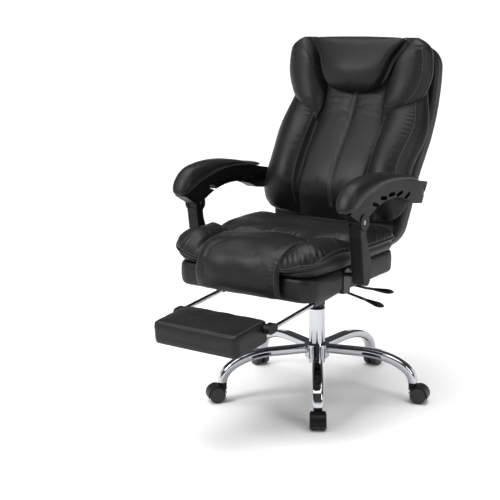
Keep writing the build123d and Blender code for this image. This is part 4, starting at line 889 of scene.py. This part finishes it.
# seat
dress(cords("seat_piping", [(seat_seam(0.0006)[0], True)], 0.0027), leather_piping, "seat")
runs = [(panel_edge(way, -0.0004, 0.0)[0][2:-2], False) for way in (-1, 1)]
dress(cords("thigh_panel_piping", runs, 0.0023), leather_piping, "seat")
place, away = seat_seam(0.02, 0.0085)
rows = [laid_on(surface_of(seat), place, -away, 0.02)]
tree = surface_of(panel)
for way in (-1, 1):
    edge, out = panel_edge(way, 0.0085, 0.02)
    rows.append(laid_on(tree, edge[14:-3], -out[14:-3], 0.012))
dress(stitches("seat_stitching", rows), thread, "seat")

# backrest: a zig-zag over the middle seam between two rows, then rows beside the rolls' seams, on
# the pillow's flanges and on the shell's side bands
tree = surface_of(cushion)
heights = np.linspace(0.556, 0.905, 140)
zig_zag = np.arange(len(heights)) % 2 * 2 - 1
rows = [back_row(tree, 0.0045 * zig_zag, heights)]
for way in (-1, 1):
    rows.append(back_row(tree, way * 0.0058 + 0 * heights, heights))
    rows.append(back_row(tree, way * (BOLSTER_SEAM + 0.0085) + 0 * heights, heights))
    side = np.linspace(0.590, 0.870, 90)
    rows.append(back_row(tree, way * (bolster_width(side)[0] - 0.0285), side))
tree = surface_of(pillow)
share = np.linspace(0.14, 0.90, 60)
heights = PILLOW_FOOT + share * (PILLOW_TOP - PILLOW_FOOT)
for way in (-1, 1):
    for share_out in (0.925, 0.965):
        rows.append(back_row(tree, way * share_out * pillow_width(share), heights))
tree = surface_of(shell)
band = np.linspace(0.500, 1.020, 120)
for way in (-1, 1):
    side = on_back(way * 0.26 + 0 * band, band, 0.031)
    rows.append(laid_on(tree, side, np.array([-way, 0.0, 0.0]), 0.02))
dress(stitches("back_stitching", rows), thread, "back")

loop = round_rectangle(WING_HALF_X + 0.0002, WING_HALF_S + 0.0002, WING_CORNER)
runs, rows = [], []
for way in (-1, 1):
    a, height = wing_place(*wing_shares(loop[:, 0], loop[:, 1]))
    runs.append((on_back(way * a, height, WING_MIDDLE), True))
    outer = np.linspace(0.10, 0.93, 80)
    tree = surface_of(wings[way])
    a, height = wing_place(0.885 + 0 * outer, outer)
    rows.append(back_row(tree, way * a, height))
dress(cords("wing_piping", runs, 0.0023), leather_piping, "back")
dress(stitches("wing_stitching", rows), thread, "back")

# armrests: two rows of stitches above the pad's lower edge, open at its rear end
for way, hand in SIDES:
    loop = round_rectangle(PAD_HALF_X, PAD_HALF_Y, PAD_CORNER)
    away = outward(loop)
    run = np.clip(loop[:, 1] + PAD_CENTRE_Y, -0.3245, 0.0710)
    under, over = pad_foot(run)[0], pad_crown(run)[0]
    tree = surface_of(pads[way])
    rows = []
    for rise in (0.22, 0.36):
        height = under + rise * (over - under)
        start = np.stack([way * ARM_X + loop[:, 0], loop[:, 1] + PAD_CENTRE_Y, height], axis=-1)
        keep = loop[:, 1] < 0.185
        order = np.argsort(np.where(keep, 0, 1), kind="stable")[:keep.sum()]
        first = np.argmax(np.diff(order) > 1) + 1 if np.any(np.diff(order) > 1) else 0
        order = np.roll(order, -first)
        rows.append(laid_on(tree, (start + 0.012 * away)[order], -away[order], 0.01))
    dress(stitches(f"arm_stitching_{hand}", rows), thread, f"arm_{hand}")

# footrest
loop = round_rectangle(0.1335, 0.0675, 0.010)
loop = FOOT_CENTRE + loop[:, :1] * [1, 0, 0] + loop[:, 1:] * FOOT_ALONG + 0.04 * FOOT_UP
rows = [laid_on(surface_of(rest), loop, -FOOT_UP, 0.03)]
dress(stitches("footrest_stitching", rows), thread, "footrest_pad")

# -------------------- studio
FLOOR_REACH, FLOOR_Z = 60, -0.0005
corners = [(a * FLOOR_REACH, b * FLOOR_REACH, FLOOR_Z) for a, b in ((-1, -1), (1, -1), (1, 1), (-1, 1))]
floor_mesh = make_mesh("studio_floor", corners, [(0, 1, 2, 3)])
floor_paint, _, _ = new_material("studio_paper_matt", {
    "Base Color": linear("#F3F3F3"), "Roughness": 0.95, "Specular IOR Level": 0.1})
coat(floor_mesh, floor_paint)

# The air: white to 8 degrees up, dark from 13 to 56 degrees, and a bright ceiling above 66 degrees.
# The dark band gives black leather its shape and polished metal its dark streaks.
AIR_STOPS = ((0.14, 0.29), (0.22, 0.024), (0.83, 0.024), (0.915, 1.0))    # sine of height, level
AIR_STRENGTH = 3.6
world = bpy.data.worlds.new("studio_air")
world.use_nodes = True
air = world.node_tree
direction = add_node(air, "ShaderNodeTexCoord").outputs["Generated"]
upward = add_node(air, "ShaderNodeSeparateXYZ", Vector=direction).outputs["Z"]
bands = add_node(air, "ShaderNodeValToRGB", Fac=upward)
while len(bands.color_ramp.elements) < len(AIR_STOPS):
    bands.color_ramp.elements.new(0.5)
for stop, (place, level) in zip(bands.color_ramp.elements, AIR_STOPS):
    stop.position, stop.color = place, (level, level, level, 1)
air.links.new(bands.outputs["Color"], air.nodes["Background"].inputs["Color"])
air.nodes["Background"].inputs["Strength"].default_value = AIR_STRENGTH
bpy.context.scene.world = world
bpy.context.scene.view_settings.view_transform = "Standard"
LIGHT_AIM = Vector((0, 0, 0.7))


def softbox(name, place, size, power):
    """Rectangular soft light at a place, turned to the middle of the chair."""
    data = bpy.data.lights.new(name, "AREA")
    data.shape = "RECTANGLE"
    data.size, data.size_y = size
    data.energy = power
    light = new_object(name, data)
    light.location = place
    light.rotation_mode = "QUATERNION"
    light.rotation_quaternion = (LIGHT_AIM - Vector(place)).to_track_quat("-Z", "Y")


softbox("key_light", (-1.2, -2.6, 2.6), (1.3, 1.3), 75)
softbox("side_light", (3.0, -0.6, 1.9), (0.7, 1.6), 26)
sun = bpy.data.lights.new("ceiling_light", "SUN")
sun.energy, sun.angle = 1.15, np.radians(60)
ceiling = new_object("ceiling_light", sun)
ceiling.rotation_euler = (np.radians(8), np.radians(-10), 0)

# -------------------- camera
EYE = np.array([1.7720, -2.8359, 1.2200])
HEADING, PITCH, ROLL = np.radians(35.517), np.radians(12.87), np.radians(-0.836)
ahead = np.array([-np.sin(HEADING) * np.cos(PITCH), np.cos(HEADING) * np.cos(PITCH), -np.sin(PITCH)])
right = np.array([np.cos(HEADING), np.sin(HEADING), 0.0])
above = np.cross(right, ahead)
tilt_right = np.cos(ROLL) * right + np.sin(ROLL) * above
tilt_above = np.cos(ROLL) * above - np.sin(ROLL) * right
camera_data = bpy.data.cameras.new("camera")
FOCAL_PIXELS, IMAGE_PIXELS, SENSOR = 1115.9, 500, 36.0
camera_data.sensor_width = SENSOR
camera_data.lens = FOCAL_PIXELS / IMAGE_PIXELS * SENSOR
camera_data.clip_end = 200
camera = new_object("camera", camera_data)
turned = Matrix(np.stack([tilt_right, tilt_above, -ahead], axis=1).tolist()).to_4x4()
camera.matrix_world = Matrix.Translation(Vector(EYE)) @ turned
bpy.context.scene.camera = camera
